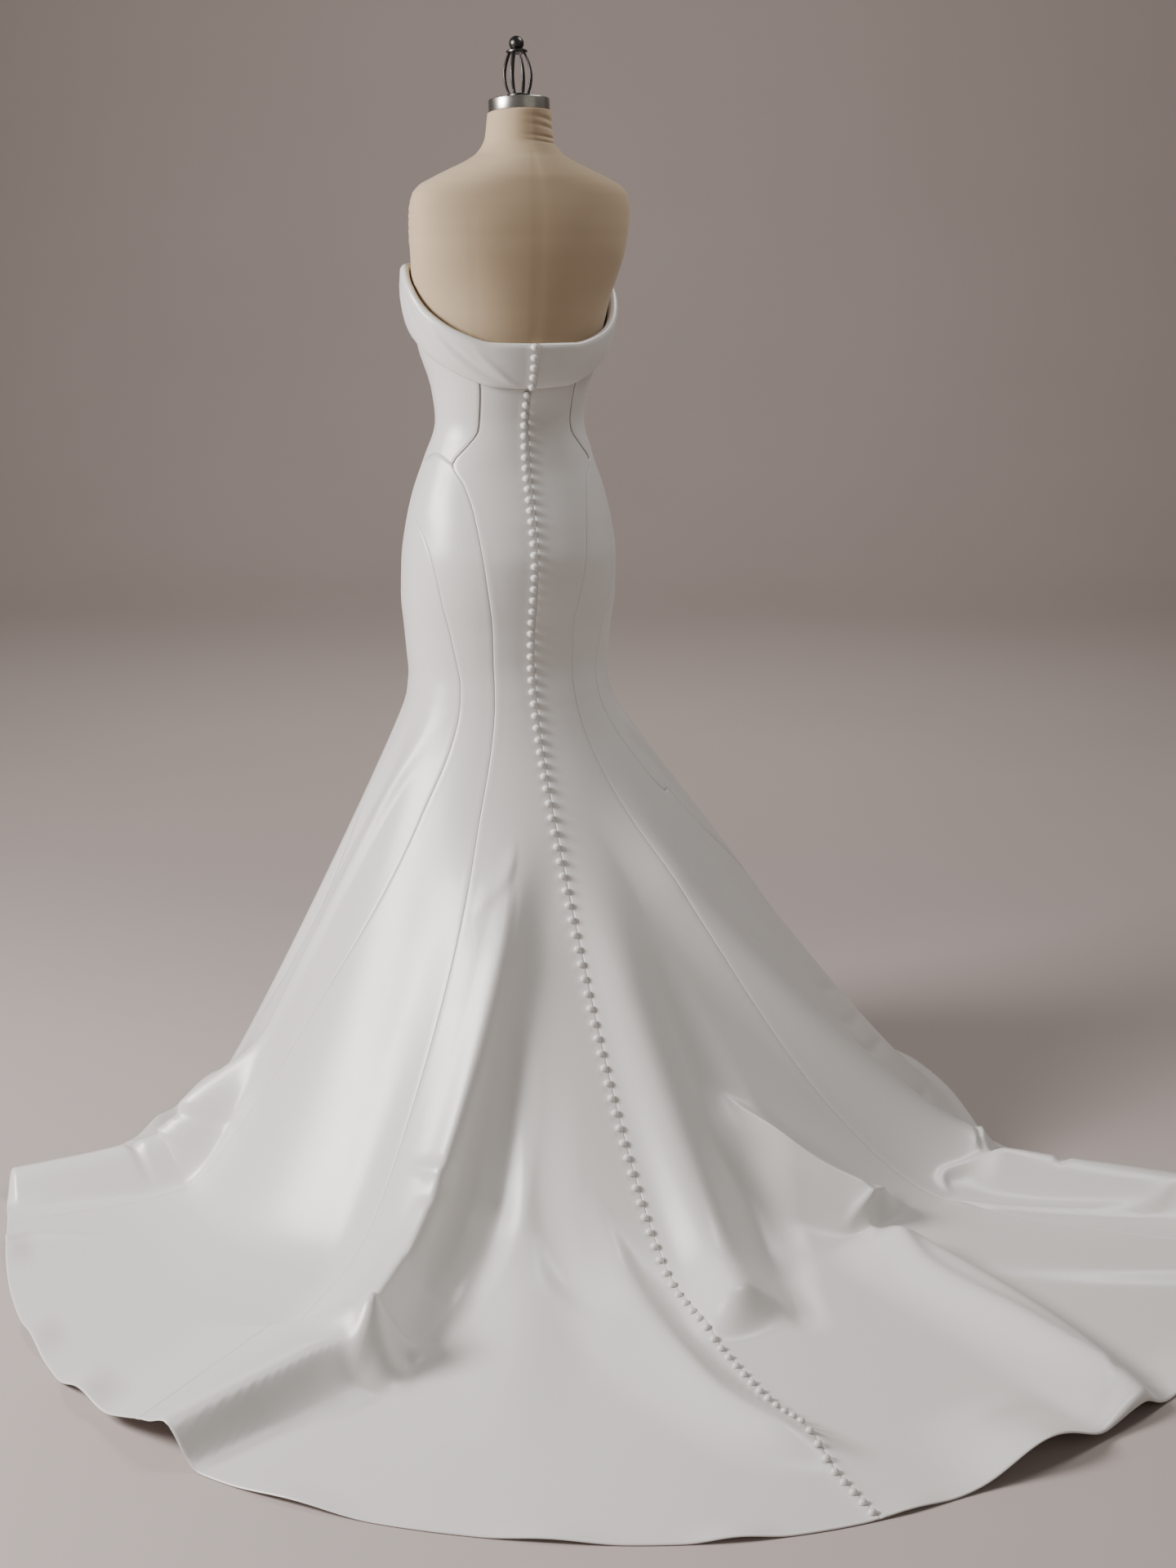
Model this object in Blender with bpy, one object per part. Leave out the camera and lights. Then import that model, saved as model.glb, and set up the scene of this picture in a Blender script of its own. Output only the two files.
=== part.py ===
"""Strapless trumpet wedding dress with a folded band, a buttoned back and a long train,
worn by a limbless dress form on a stand.

Metres, Z up. The wearer faces -Y, the train lies toward +Y and +X is the wearer's left.
Angles run round the stand in degrees: 0 at the centre back, +90 at the wearer's left side,
180 at the centre front. A level is a height above the knee line, and below it the level
falls to 0 at the hem in step with the distance out from the knee line.
"""

import math
from typing import NamedTuple

import bmesh
import bpy
from mathutils import Matrix, Vector

# Cloth.
WALL = 0.002
SEAM_GAP = 0.0003
RIM_GAP = 0.0008
FLOOR_GAP = 0.0005
TOP_OF_FLAT_CLOTH = FLOOR_GAP + WALL

# Heights of the dress. The form leans a little to its right, as it stands.
KNEE = 0.78
WAIST = 1.19
LEAN = 0.02
RIM_FIXED_LEVEL = 1.21
HIP_SEAM_LEVEL = 1.13
GORE_TOP_LEVEL = 1.06
HIP_SEAM_RISE = 0.014
KNEE_SOFTNESS = 0.025
FLOOR_EASE = 0.022
FLOOR_RUN = 0.2
FOLD_MERGE = 2.5

# The folded band.
BAND_STAND = 0.011
BAND_EDGE = 0.012

# Covered buttons: a run of beads joined by their loops.
BUTTON_RADIUS = 0.0056
LOOP_RADIUS = 0.0017
BUTTON_SIDES = 5
BAND_BUTTON_LIFT = 0.0002
PLACKET = 0.0095

# Dress form and stand.
FORM_GAP = 0.0014
FORM_EASE = 0.0025
WAIST_REST = (1.13, 1.21)
FORM_COLUMNS = 36
FORM_FOOT = 0.87
NECK_TOP = 1.645
NECK_Y = 0.030
CAP_RADIUS = 0.0465
CAP_HEIGHT = 0.019
CAP_TILT = math.radians(6)
FINIAL_BARS = 8
FINIAL_BAR_RADIUS = 0.0017
FINIAL_BASE_RADIUS = 0.0170
FINIAL_NECK_RADIUS = 0.0150
FINIAL_BULGE = 0.0085
FINIAL_BAR_HEIGHT = 0.060
FINIAL_BALL_RADIUS = 0.0112
POLE_RADIUS = 0.016
BASE_RADIUS = 0.20
BASE_HEIGHT = 0.022


class Section(NamedTuple):
    """One level slice: half width, reach back (+Y) and forward (-Y), and the widest line's Y."""

    height: float
    half_width: float
    back: float
    front: float
    widest: float


class Sweep(NamedTuple):
    """How the skirt runs out at one angle: where it meets the floor, its hem and its sag."""

    angle: float
    contact: float
    hem: float
    sag: float


class Fold(NamedTuple):
    """A ridge in the skirt from one (radius, angle) to another, with widths and heights."""

    name: str
    radius_0: float
    angle_0: float
    radius_1: float
    angle_1: float
    bow: float
    width_0: float
    width_1: float
    height_0: float
    height_1: float
    lean: float
    fade_in: float
    fade_out: float
    spread: float


class SeamPoint(NamedTuple):
    """Where a seam lies at one level."""

    level: float
    angle: float


class RimPoint(NamedTuple):
    """Top and bottom edge of the band at one angle from the centre back."""

    angle: float
    top: float
    low: float


GOWN = (
    Section(0.78, 0.160, 0.135, 0.120, 0.008),
    Section(0.82, 0.164, 0.127, 0.118, 0.004),
    Section(0.87, 0.169, 0.127, 0.120, 0.003),
    Section(0.92, 0.174, 0.134, 0.124, 0.004),
    Section(0.975, 0.173, 0.139, 0.124, 0.004),
    Section(1.03, 0.166, 0.128, 0.120, 0.003),
    Section(1.08, 0.1545, 0.111, 0.112, 0.0),
    Section(1.13, 0.137, 0.095, 0.100, -0.002),
    Section(1.19, 0.118, 0.087, 0.090, -0.002),
    Section(1.24, 0.1245, 0.098, 0.099, 0.0),
    Section(1.30, 0.1445, 0.110, 0.120, 0.002),
    Section(1.36, 0.158, 0.120, 0.130, 0.006),
    Section(1.43, 0.167, 0.122, 0.132, 0.030),
    Section(1.45, 0.168, 0.124, 0.126, 0.036),
)

FORM_TOP = (
    Section(1.455, 0.1690, 0.124, 0.116, 0.045),
    Section(1.485, 0.1725, 0.123, 0.100, 0.047),
    Section(1.510, 0.1735, 0.120, 0.085, 0.047),
    Section(1.530, 0.1700, 0.116, 0.070, 0.047),
    Section(1.543, 0.1600, 0.113, 0.060, 0.046),
    Section(1.555, 0.1380, 0.110, 0.050, 0.044),
    Section(1.567, 0.1120, 0.105, 0.042, 0.040),
    Section(1.580, 0.0830, 0.098, 0.033, 0.036),
    Section(1.592, 0.0640, 0.090, 0.026, 0.032),
    Section(1.612, 0.0520, 0.081, 0.019, 0.030),
    Section(NECK_TOP, 0.0475, 0.078, 0.018, 0.030),
)

SWEEPS = (
    Sweep(-180, 0.44, 0.455, 1.00),
    Sweep(-145, 0.50, 0.53, 1.05),
    Sweep(-110, 0.65, 0.69, 1.10),
    Sweep(-90, 0.755, 0.78, 1.12),
    Sweep(-75, 0.765, 0.78, 1.17),
    Sweep(-65, 0.77, 0.79, 1.24),
    Sweep(-60, 0.78, 0.84, 1.28),
    Sweep(-57, 0.785, 1.00, 1.30),
    Sweep(-53, 0.785, 1.14, 1.32),
    Sweep(-45, 0.78, 1.18, 1.35),
    Sweep(-25, 0.75, 1.265, 1.45),
    Sweep(0, 0.73, 1.27, 1.50),
    Sweep(25, 0.70, 1.205, 1.45),
    Sweep(45, 0.67, 1.11, 1.40),
    Sweep(65, 0.64, 0.97, 1.30),
    Sweep(85, 0.59, 0.86, 1.20),
    Sweep(92, 0.58, 0.84, 1.18),
    Sweep(98, 0.57, 0.735, 1.15),
    Sweep(106, 0.56, 0.64, 1.12),
    Sweep(120, 0.54, 0.585, 1.10),
    Sweep(145, 0.48, 0.51, 1.05),
    Sweep(180, 0.44, 0.455, 1.00),
)

# Name, start radius and angle, end radius and angle, bow, half widths, heights, lean, fades,
# and how much further the ridge spreads on its side away from the centre back.
FOLDS = (
    Fold("left_roll", 0.20, 18, 0.88, 33.5, 7.5, 0.056, 0.058, 0.022, 0.084, 0.014, 0.20, 0.12, 1.6),
    Fold("left_roll_foot", 0.80, 32, 1.17, 43, 1.5, 0.036, 0.036, 0.070, 0.042, 0.0, 0.20, 0.04, 4.0),
    Fold("left_flute", 0.42, 89, 0.84, 92, 0.0, 0.050, 0.045, 0.085, 0.040, 0.0, 0.25, 0.04, 1.2),
    Fold("back_flute", 0.22, -6, 0.80, -3, -2.5, 0.060, 0.070, 0.012, 0.050, 0.0, 0.25, 0.12, 0.8),
    Fold("right_step", 0.46, -17, 0.70, -32, 0.0, 0.045, 0.055, 0.012, 0.045, 0.012, 0.35, 0.16, 1.3),
    Fold("right_step_foot", 0.70, -27, 1.27, -19, -1.0, 0.050, 0.055, 0.045, 0.032, 0.012, 0.16, 0.05, 1.5),
    Fold("train_ripple", 0.58, 7, 1.12, 0, 2.0, 0.045, 0.045, 0.018, 0.026, 0.0, 0.25, 0.20, 1.8),
    Fold("right_flute", 0.19, -26, 0.80, -54, -6.0, 0.045, 0.090, 0.016, 0.062, 0.0, 0.20, 0.12, 1.0),
    Fold("right_flute_foot", 0.74, -50, 1.16, -51.5, 0.0, 0.045, 0.050, 0.055, 0.045, 0.0, 0.20, 0.04, 1.0),
    Fold("front_right", 0.20, -120, 0.66, -120, 0.0, 0.050, 0.110, 0.010, 0.035, 0.0, 0.35, 0.02, 1.0),
    Fold("front_left", 0.20, 128, 0.62, 128, 0.0, 0.050, 0.110, 0.010, 0.035, 0.0, 0.35, 0.02, 1.0),
    Fold("front_middle", 0.20, 176, 0.50, 176, 0.0, 0.050, 0.090, 0.008, 0.025, 0.0, 0.35, 0.02, 1.0),
    Fold("right_hem_arch", 1.08, -12, 1.30, -11, 0.0, 0.080, 0.110, 0.010, 0.030, 0.0, 0.40, 0.02, 1.0),
)

SIDE_SEAM = (
    SeamPoint(0.00, 104),
    SeamPoint(0.78, 101),
    SeamPoint(0.95, 101),
    SeamPoint(1.06, 99),
    SeamPoint(1.21, 90),
    SeamPoint(1.45, 92),
)

BACK_SEAM_LEFT = (
    SeamPoint(0.00, 45.0),
    SeamPoint(0.30, 42.0),
    SeamPoint(0.50, 38.0),
    SeamPoint(0.70, 29.0),
    SeamPoint(0.78, 22.0),
    SeamPoint(0.87, 21.5),
    SeamPoint(0.96, 26.0),
    SeamPoint(1.06, 34.0),
    SeamPoint(1.10, 42.0),
    SeamPoint(1.13, 54.0),
    SeamPoint(1.155, 46.0),
    SeamPoint(1.18, 38.5),
    SeamPoint(1.21, 37.5),
    SeamPoint(1.45, 35.0),
)

GORE_SEAM_LEFT = (
    SeamPoint(0.00, 85.0),
    SeamPoint(0.30, 82.0),
    SeamPoint(0.50, 73.0),
    SeamPoint(0.70, 54.0),
    SeamPoint(0.78, 42.5),
    SeamPoint(0.87, 47.0),
    SeamPoint(0.93, 53.0),
    SeamPoint(0.975, 59.0),
    SeamPoint(1.015, 68.0),
    SeamPoint(1.04, 80.0),
    SeamPoint(GORE_TOP_LEVEL, 98.4),
)

PRINCESS_SEAM = (
    SeamPoint(0.00, 142),
    SeamPoint(0.78, 140),
    SeamPoint(1.00, 142),
    SeamPoint(1.19, 146),
    SeamPoint(1.45, 140),
)

BAND = (
    RimPoint(0, 1.310, 1.245),
    RimPoint(24, 1.312, 1.248),
    RimPoint(45, 1.328, 1.262),
    RimPoint(68, 1.358, 1.286),
    RimPoint(88, 1.392, 1.312),
    RimPoint(112, 1.425, 1.338),
    RimPoint(150, 1.428, 1.345),
    RimPoint(180, 1.418, 1.338),
)

# How a band's wall runs: out from the gown's face, and up from its low edge (share of height).
BAND_PATH = (
    (-0.0010, "rim", 0.0000),
    (-0.0008, "rim", 0.0070),
    (0.0022, "rim", 0.0112),
    (0.0068, "rim", 0.0110),
    (0.0098, "rim", 0.0060),
    (BAND_STAND, "low", 0.66),
    (0.0110, "low", 0.36),
    (0.0088, "low", 0.12),
    (0.0052, "low", 0.00),
)

LEVELS_ABOVE_KNEE = (
    1.180, 1.155, 1.130, 1.100, 1.060, 1.040, 1.015, 0.975, 0.930, 0.870, 0.820, 0.780,
)
RIM_ROWS = 3
SKIRT_ROWS = (
    0.965, 0.92, 0.865, 0.805, 0.74, 0.67, 0.605, 0.54,
    0.48, 0.42, 0.355, 0.285, 0.21, 0.135, 0.065, 0.0,
)


class Run(NamedTuple):
    """A run of buttons: how many, first and last spacing (0 fills to the hem), and its lift."""

    name: str
    count: int
    first_pitch: float
    last_pitch: float
    lift: float


BUTTON_RUNS = (
    Run("buttons_bodice", 8, 0.0162, 0.0165, 0.0009),
    Run("buttons_hip", 27, 0.0166, 0.0196, 0.0009),
    Run("buttons_skirt", 20, 0.0, 0.0, 0.0011),
    Run("buttons_lower_skirt", 20, 0.0, 0.0, 0.0014),
    Run("buttons_train", 20, 0.0, 0.0, 0.0026),
)
LAST_BUTTON_TO_HEM = 0.012
BAND_BUTTONS = 5


def interpolate(xs, ys, x):
    """Smooth curve through the points (xs rising), without overshoot at flat ends."""
    if x <= xs[0]:
        return ys[0]
    if x >= xs[-1]:
        return ys[-1]
    i = max(k for k in range(len(xs) - 1) if xs[k] <= x)
    slopes = [(ys[k + 1] - ys[k]) / (xs[k + 1] - xs[k]) for k in range(len(xs) - 1)]

    def tangent(k):
        if k == 0:
            return slopes[0]
        if k == len(xs) - 1:
            return slopes[-1]
        before, after = slopes[k - 1], slopes[k]
        if before * after <= 0:
            return 0.0
        return 2.0 * before * after / (before + after)

    span = xs[i + 1] - xs[i]
    t = (x - xs[i]) / span
    h00 = (1 + 2 * t) * (1 - t) ** 2
    h10 = t * (1 - t) ** 2
    h01 = t * t * (3 - 2 * t)
    h11 = t * t * (t - 1)
    return h00 * ys[i] + h10 * span * tangent(i) + h01 * ys[i + 1] + h11 * span * tangent(i + 1)


def column(table, index):
    """One column of a table of rows."""
    return [row[index] for row in table]


def seam_angle(table, level):
    return interpolate(column(table, 0), column(table, 1), level)


def wrap(angle):
    """The same angle between -180 and 180."""
    return (angle + 180.0) % 360.0 - 180.0


def smoothstep(t):
    t = min(1.0, max(0.0, t))
    return t * t * (3 - 2 * t)


def section_point(table, height, angle, inset=0.0, squareness=2.15):
    """Point of a body slice at an angle: a rounded egg shape, drawn in by inset."""
    heights = column(table, 0)
    half_width = interpolate(heights, column(table, 1), height) - inset
    back = interpolate(heights, column(table, 2), height) - inset
    front = interpolate(heights, column(table, 3), height) - inset
    widest = interpolate(heights, column(table, 4), height)
    c, s = math.cos(math.radians(angle)), math.sin(math.radians(angle))
    power = 2.0 / squareness
    x = math.copysign(abs(s) ** power, s) * half_width - LEAN * (height - WAIST)
    depth = back - widest if c > 0 else front + widest
    y = math.copysign(abs(c) ** power, c) * depth + widest
    return Vector((x, y, height))


def sweep_values(angle):
    angles = column(SWEEPS, 0)
    turned = wrap(angle)
    return [interpolate(angles, column(SWEEPS, k), turned) for k in (1, 2, 3)]


def smooth_skirt(angle, share):
    """Point of the skirt without folds; share runs from 0 at the knee to 1 at the hem."""
    contact, hem, sag = sweep_values(angle)
    start = section_point(GOWN, KNEE, angle)
    heading = Vector((math.sin(math.radians(angle)), math.cos(math.radians(angle)), 0.0))
    start.z = 0.0
    reach = heading * hem - start
    way = share * share * (1 + KNEE_SOFTNESS) / (share + KNEE_SOFTNESS)
    point = start + reach * way
    down = share * (hem - start.length) / (contact - start.length)
    left_over = 1.0 - down
    fall = left_over**sag if left_over > 0 else left_over * FLOOR_RUN
    ease = FLOOR_EASE * (1.0001 - share**4)
    height = ease * math.log1p(math.exp(min(60.0, (KNEE - TOP_OF_FLAT_CLOTH) * fall / ease)))
    point.z = TOP_OF_FLAT_CLOTH + min(height, KNEE - TOP_OF_FLAT_CLOTH)
    return point


def fold_offset(point):
    """How far the folds lift a point of the smooth skirt, and how far they push it round."""
    radius = math.hypot(point.x, point.y)
    angle = math.degrees(math.atan2(point.x, point.y))
    lift = 0.0
    push = 0.0
    for fold in FOLDS:
        along = (radius - fold.radius_0) / (fold.radius_1 - fold.radius_0)
        if along < 0.0 or along > 1.0 + fold.fade_out:
            continue
        centre = fold.angle_0 + (fold.angle_1 - fold.angle_0) * along
        centre += fold.bow * 4 * along * (1 - along)
        across = math.radians(wrap(angle - centre)) * radius
        width = fold.width_0 + (fold.width_1 - fold.width_0) * along
        reach = width * (1.6 * fold.spread if across > 0 else 1.6)
        if abs(across) >= reach:
            continue
        profile = (0.5 + 0.5 * math.cos(math.pi * across / reach)) ** 1.5
        height = fold.height_0 + (fold.height_1 - fold.height_0) * along
        strength = smoothstep(along / fold.fade_in)
        strength *= 1.0 - smoothstep((along - 1.0) / fold.fade_out + 0.5)
        lift += (height * profile * strength) ** FOLD_MERGE
        push -= fold.lean * profile * profile * strength
    return lift ** (1 / FOLD_MERGE), push


def gown_point(angle, level):
    """Point of the gown's outer face."""
    if level >= KNEE:
        return section_point(GOWN, level, angle)
    share = 1.0 - level / KNEE
    point = smooth_skirt(angle, share)
    lift, push = fold_offset(point)
    if lift or push:
        step = 0.01
        ahead = smooth_skirt(angle, min(1.0, share + step))
        behind = smooth_skirt(angle, max(0.0, share - step))
        down = (ahead - behind).normalized()
        side = Vector((math.cos(math.radians(angle)), -math.sin(math.radians(angle)), 0.0))
        normal = down.cross(side).normalized()
        if normal.z < 0:
            normal.negate()
        point = point + normal * lift + side * push
    return point


def gown_normal(angle, level):
    """Outward direction of the gown's outer face."""
    turn = 0.4
    step = 0.004
    low = max(0.0, level - step)
    across = gown_point(angle + turn, level) - gown_point(angle - turn, level)
    down = gown_point(angle, low) - gown_point(angle, low + 2 * step)
    normal = across.cross(down)
    normal.normalize()
    return normal


def band_height(angle, index):
    """Height of the band's top (1) or low edge (2) at an angle."""
    return interpolate(column(BAND, 0), column(BAND, index), abs(wrap(angle)))


def rim_level(angle):
    """Where the bodice ends, inside the band's roll."""
    return band_height(angle, 1) - BAND_EDGE


def row_levels():
    """Names of the rows from the rim to the hem: a share down the rim rows, or a level."""
    rows = [("rim", k / RIM_ROWS) for k in range(RIM_ROWS)]
    rows += [("level", RIM_FIXED_LEVEL)]
    rows += [("level", level) for level in LEVELS_ABOVE_KNEE]
    rows += [("level", share * KNEE) for share in SKIRT_ROWS]
    return rows


ROWS = row_levels()


def level_of(row, angle):
    kind, value = row
    if kind == "rim":
        top = rim_level(angle)
        return top + (RIM_FIXED_LEVEL - top) * value
    return value


def nominal_level(row):
    return level_of(row, 90.0) if row[0] == "rim" else row[1]


def new_material(name, colour, roughness, metallic=0.0):
    material = bpy.data.materials.new(name)
    material.use_nodes = True
    shader = material.node_tree.nodes["Principled BSDF"]
    shader.inputs["Base Color"].default_value = (*colour, 1.0)
    shader.inputs["Roughness"].default_value = roughness
    shader.inputs["Metallic"].default_value = metallic
    material.diffuse_color = (*colour, 1.0)
    return material


def add_object(name, bm, material, parent):
    """Turns a bmesh into a named object with its material."""
    mesh = bpy.data.meshes.new(name)
    bm.to_mesh(mesh)
    bm.free()
    mesh.materials.append(material)
    item = bpy.data.objects.new(name, mesh)
    bpy.context.scene.collection.objects.link(item)
    item.parent = parent
    return item


def wall_mesh(outer, inner, closed=False):
    """Closed wall between two grids of points (rows of columns) with matching diagonals."""
    bm = bmesh.new()
    faces_out = [[bm.verts.new(p) for p in row] for row in outer]
    faces_in = [[bm.verts.new(p) for p in row] for row in inner]
    rows = len(outer)
    columns = len(outer[0])
    last = columns if closed else columns - 1
    for i in range(rows - 1):
        for j in range(last):
            k = (j + 1) % columns
            corners = (faces_out[i][j], faces_out[i + 1][j], faces_out[i + 1][k], faces_out[i][k])
            hidden = (faces_in[i][j], faces_in[i + 1][j], faces_in[i + 1][k], faces_in[i][k])
            first = (corners[0].co - corners[2].co).length
            second = (corners[1].co - corners[3].co).length
            picks = ((0, 1, 2), (0, 2, 3)) if first <= second else ((0, 1, 3), (1, 2, 3))
            for a, b, c in picks:
                bm.faces.new((corners[a], corners[b], corners[c]))
                bm.faces.new((hidden[c], hidden[b], hidden[a]))
    rims = [(0, j, 0, (j + 1) % columns) for j in range(last)]
    rims += [(rows - 1, j, rows - 1, (j + 1) % columns) for j in range(last)]
    if not closed:
        rims += [(i, 0, i + 1, 0) for i in range(rows - 1)]
        rims += [(i, columns - 1, i + 1, columns - 1) for i in range(rows - 1)]
    for i, j, m, n in rims:
        bm.faces.new((faces_out[i][j], faces_in[i][j], faces_in[m][n]))
        bm.faces.new((faces_out[i][j], faces_in[m][n], faces_out[m][n]))
    bmesh.ops.recalc_face_normals(bm, faces=bm.faces)
    return bm


class Panel(NamedTuple):
    """A panel between two seams, from its first row to its last."""

    name: str
    start: object
    end: object
    columns: int
    first_level: float
    last_level: float
    top_rise: float
    foot_rise: float
    placket: float


def fixed(angle):
    """A seam that runs straight down at one angle."""
    return lambda level: angle


def left(table):
    return lambda level: seam_angle(table, level)


def right(table, shift=0.0):
    return lambda level: -seam_angle(table, level) + shift * max(0.0, level / KNEE - 0.5)


TOP = 2.0
SIDE_L = left(SIDE_SEAM)
SIDE_R = right(SIDE_SEAM)
BACK_L = left(BACK_SEAM_LEFT)
BACK_R = right(BACK_SEAM_LEFT)
GORE_L = left(GORE_SEAM_LEFT)
GORE_R = right(GORE_SEAM_LEFT)
PRINCESS_L = left(PRINCESS_SEAM)
PRINCESS_R = right(PRINCESS_SEAM)


def side_back_left(level):
    """Outer edge of the left side-back skirt panel: the side seam, then the gore's seam."""
    return SIDE_L(level) if level > GORE_TOP_LEVEL else GORE_L(level)


def side_back_right(level):
    return -side_back_left(level)


PANELS = (
    Panel("back_left", fixed(0.0), BACK_L, 12, TOP, 0.0, 0.0, 0.0, PLACKET),
    Panel("back_right", BACK_R, fixed(0.0), 11, TOP, 0.0, 0.0, 0.0, 0.0),
    Panel("bodice_side_back_left", BACK_L, SIDE_L, 8, TOP, HIP_SEAM_LEVEL, 0, 1, 0.0),
    Panel("bodice_side_back_right", SIDE_R, BACK_R, 8, TOP, HIP_SEAM_LEVEL, 0, 1, 0.0),
    Panel("skirt_side_back_left", BACK_L, side_back_left, 8, HIP_SEAM_LEVEL, 0, 1, 0, 0.0),
    Panel("skirt_side_back_right", side_back_right, BACK_R, 8, HIP_SEAM_LEVEL, 0, 1, 0, 0.0),
    Panel("skirt_side_gore_left", GORE_L, SIDE_L, 3, GORE_TOP_LEVEL, 0.0, 0, 0, 0.0),
    Panel("skirt_side_gore_right", SIDE_R, GORE_R, 3, GORE_TOP_LEVEL, 0.0, 0, 0, 0.0),
    Panel("front_side_left", SIDE_L, PRINCESS_L, 5, TOP, 0.0, 0, 0, 0.0),
    Panel("front_side_right", PRINCESS_R, SIDE_R, 5, TOP, 0.0, 0, 0, 0.0),
    Panel("front_centre", PRINCESS_L, lambda level: 360 + PRINCESS_R(level), 7, TOP, 0, 0, 0, 0.0),
)


def column_shares(panel, width, radius):
    """Where a panel's columns lie between its edges; a placket adds a narrow first one."""
    shares = [j / panel.columns for j in range(panel.columns + 1)]
    if panel.placket:
        part = math.degrees(panel.placket / radius) / width
        shares = [0.0] + [part + (1 - part) * s for s in shares]
    return shares


def rim_angles():
    """Angles of all columns that reach the rim, from the centre back round to it."""
    row = ROWS[0]
    angles = []
    for panel in PANELS:
        if panel.first_level < TOP:
            continue
        level = nominal_level(row)
        start, end = panel.start(level), panel.end(level)
        middle = gown_point((start + end) / 2, level_of(row, (start + end) / 2))
        radius = math.hypot(middle.x, middle.y)
        shares = column_shares(panel, end - start, radius)[:-1]
        angles += [(start + (end - start) * share) % 360 for share in shares]
    return sorted(angles)


def panel_grid(panel):
    """Outer and inner points of a panel, held half a seam gap inside each of its edges."""
    outer = []
    inner = []
    rows = [r for r in ROWS if panel.last_level <= nominal_level(r) <= panel.first_level]
    for number, row in enumerate(rows):
        nominal = nominal_level(row)
        start = panel.start(nominal)
        end = panel.end(nominal)
        middle = gown_point((start + end) / 2, level_of(row, (start + end) / 2))
        radius = math.hypot(middle.x, middle.y)
        trim = math.degrees(SEAM_GAP / 2 / radius)
        shares = column_shares(panel, end - start, radius)
        outer_row = []
        inner_row = []
        for share in shares:
            angle = start + trim + (end - start - 2 * trim) * share
            level = level_of(row, angle)
            rise = HIP_SEAM_RISE * math.sin(math.pi * share)
            if panel.top_rise and number == 0:
                level += rise - SEAM_GAP / 2
            if panel.foot_rise and number == len(rows) - 1:
                level += rise + SEAM_GAP / 2
            point = gown_point(angle, level)
            normal = gown_normal(angle, level)
            if row[0] == "rim":
                normal.z = 0.0
                normal.normalize()
            outer_row.append(point)
            inner_point = point - normal * WALL
            inner_point.z = max(inner_point.z, FLOOR_GAP)
            inner_row.append(inner_point)
        outer.append(outer_row)
        inner.append(inner_row)
    return outer, inner


def build_panels(material, parent):
    """All cloth panels; returns the left back panel's points for what lies on it."""
    placket_points = None
    for panel in PANELS:
        grid = panel_grid(panel)
        if panel.placket:
            placket_points = grid[0]
        add_object(panel.name, wall_mesh(*grid), material, parent)
    return placket_points


def band_point(angle, offset, datum, amount):
    """Point of the band's wall: offset from the gown's face, at a height on rim or band."""
    if datum == "rim":
        level = rim_level(angle) + RIM_GAP + amount
    else:
        low = band_height(angle, 2)
        level = low + (rim_level(angle) - low) * amount
    face = gown_point(angle, level)
    normal = gown_normal(angle, level)
    normal.z = 0.0
    return face + normal.normalized() * offset


def build_band(material, parent):
    """The folded band: a wall along one path, swept round and open at the centre back."""
    trim = math.degrees(SEAM_GAP / 0.11)
    angles = [trim] + [a for a in rim_angles() if trim < a < 360 - trim] + [360 - trim]
    outer = []
    inner = []
    paths = [[band_point(a, *step) for step in BAND_PATH] for a in angles]
    for i in range(len(BAND_PATH)):
        outer_row = []
        inner_row = []
        for angle, path in zip(angles, paths):
            heading = Vector((math.sin(math.radians(angle)), math.cos(math.radians(angle)), 0.0))
            ahead = path[min(i + 1, len(path) - 1)]
            behind = path[max(i - 1, 0)]
            along = ahead - behind
            side = Vector((0.0, 0.0, 1.0)).cross(heading)
            outward = along.cross(side).normalized() * (WALL / 2)
            outer_row.append(path[i] + outward)
            inner_row.append(path[i] - outward)
        outer.append(outer_row)
        inner.append(inner_row)
    add_object("folded_band", wall_mesh(outer, inner), material, parent)
    return paths[0]


def along_line(points, distance):
    """Point and direction at a distance along a line of points."""
    for a, b in zip(points, points[1:]):
        length = (b - a).length
        if distance <= length:
            return a.lerp(b, distance / length), (b - a).normalized()
        distance -= length
    return points[-1], (points[-1] - points[-2]).normalized()


def bead_run(centres):
    """One closed body: beads on a cord through the centres."""
    bm = bmesh.new()
    rings = []
    stations = []
    for k, (centre, direction, normal) in enumerate(centres):
        side = direction.cross(normal).normalized()
        if k:
            previous = centres[k - 1][0]
            stations.append(((centre + previous) / 2, normal, side, LOOP_RADIUS))
        half = BUTTON_RADIUS * 0.55
        stations.append((centre - direction * half, normal, side, BUTTON_RADIUS * 0.9))
        stations.append((centre + direction * half, normal, side, BUTTON_RADIUS * 0.9))
    for centre, normal, side, radius in stations:
        ring = []
        base = centre - normal * (BUTTON_RADIUS - radius) * 0.75
        for n in range(BUTTON_SIDES):
            turn = 2 * math.pi * n / BUTTON_SIDES
            spoke = normal * math.cos(turn) + side * math.sin(turn)
            ring.append(bm.verts.new(base + spoke * radius))
        rings.append(ring)
    for a, b in zip(rings, rings[1:]):
        for n in range(BUTTON_SIDES):
            m = (n + 1) % BUTTON_SIDES
            bm.faces.new((a[n], a[m], b[m], b[n]))
    bm.faces.new(rings[0])
    bm.faces.new(list(reversed(rings[-1])))
    bmesh.ops.recalc_face_normals(bm, faces=bm.faces)
    return bm


def button_height(lift):
    """How far a button's centre stands off the cloth."""
    return BUTTON_RADIUS * 0.82 + lift


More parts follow.
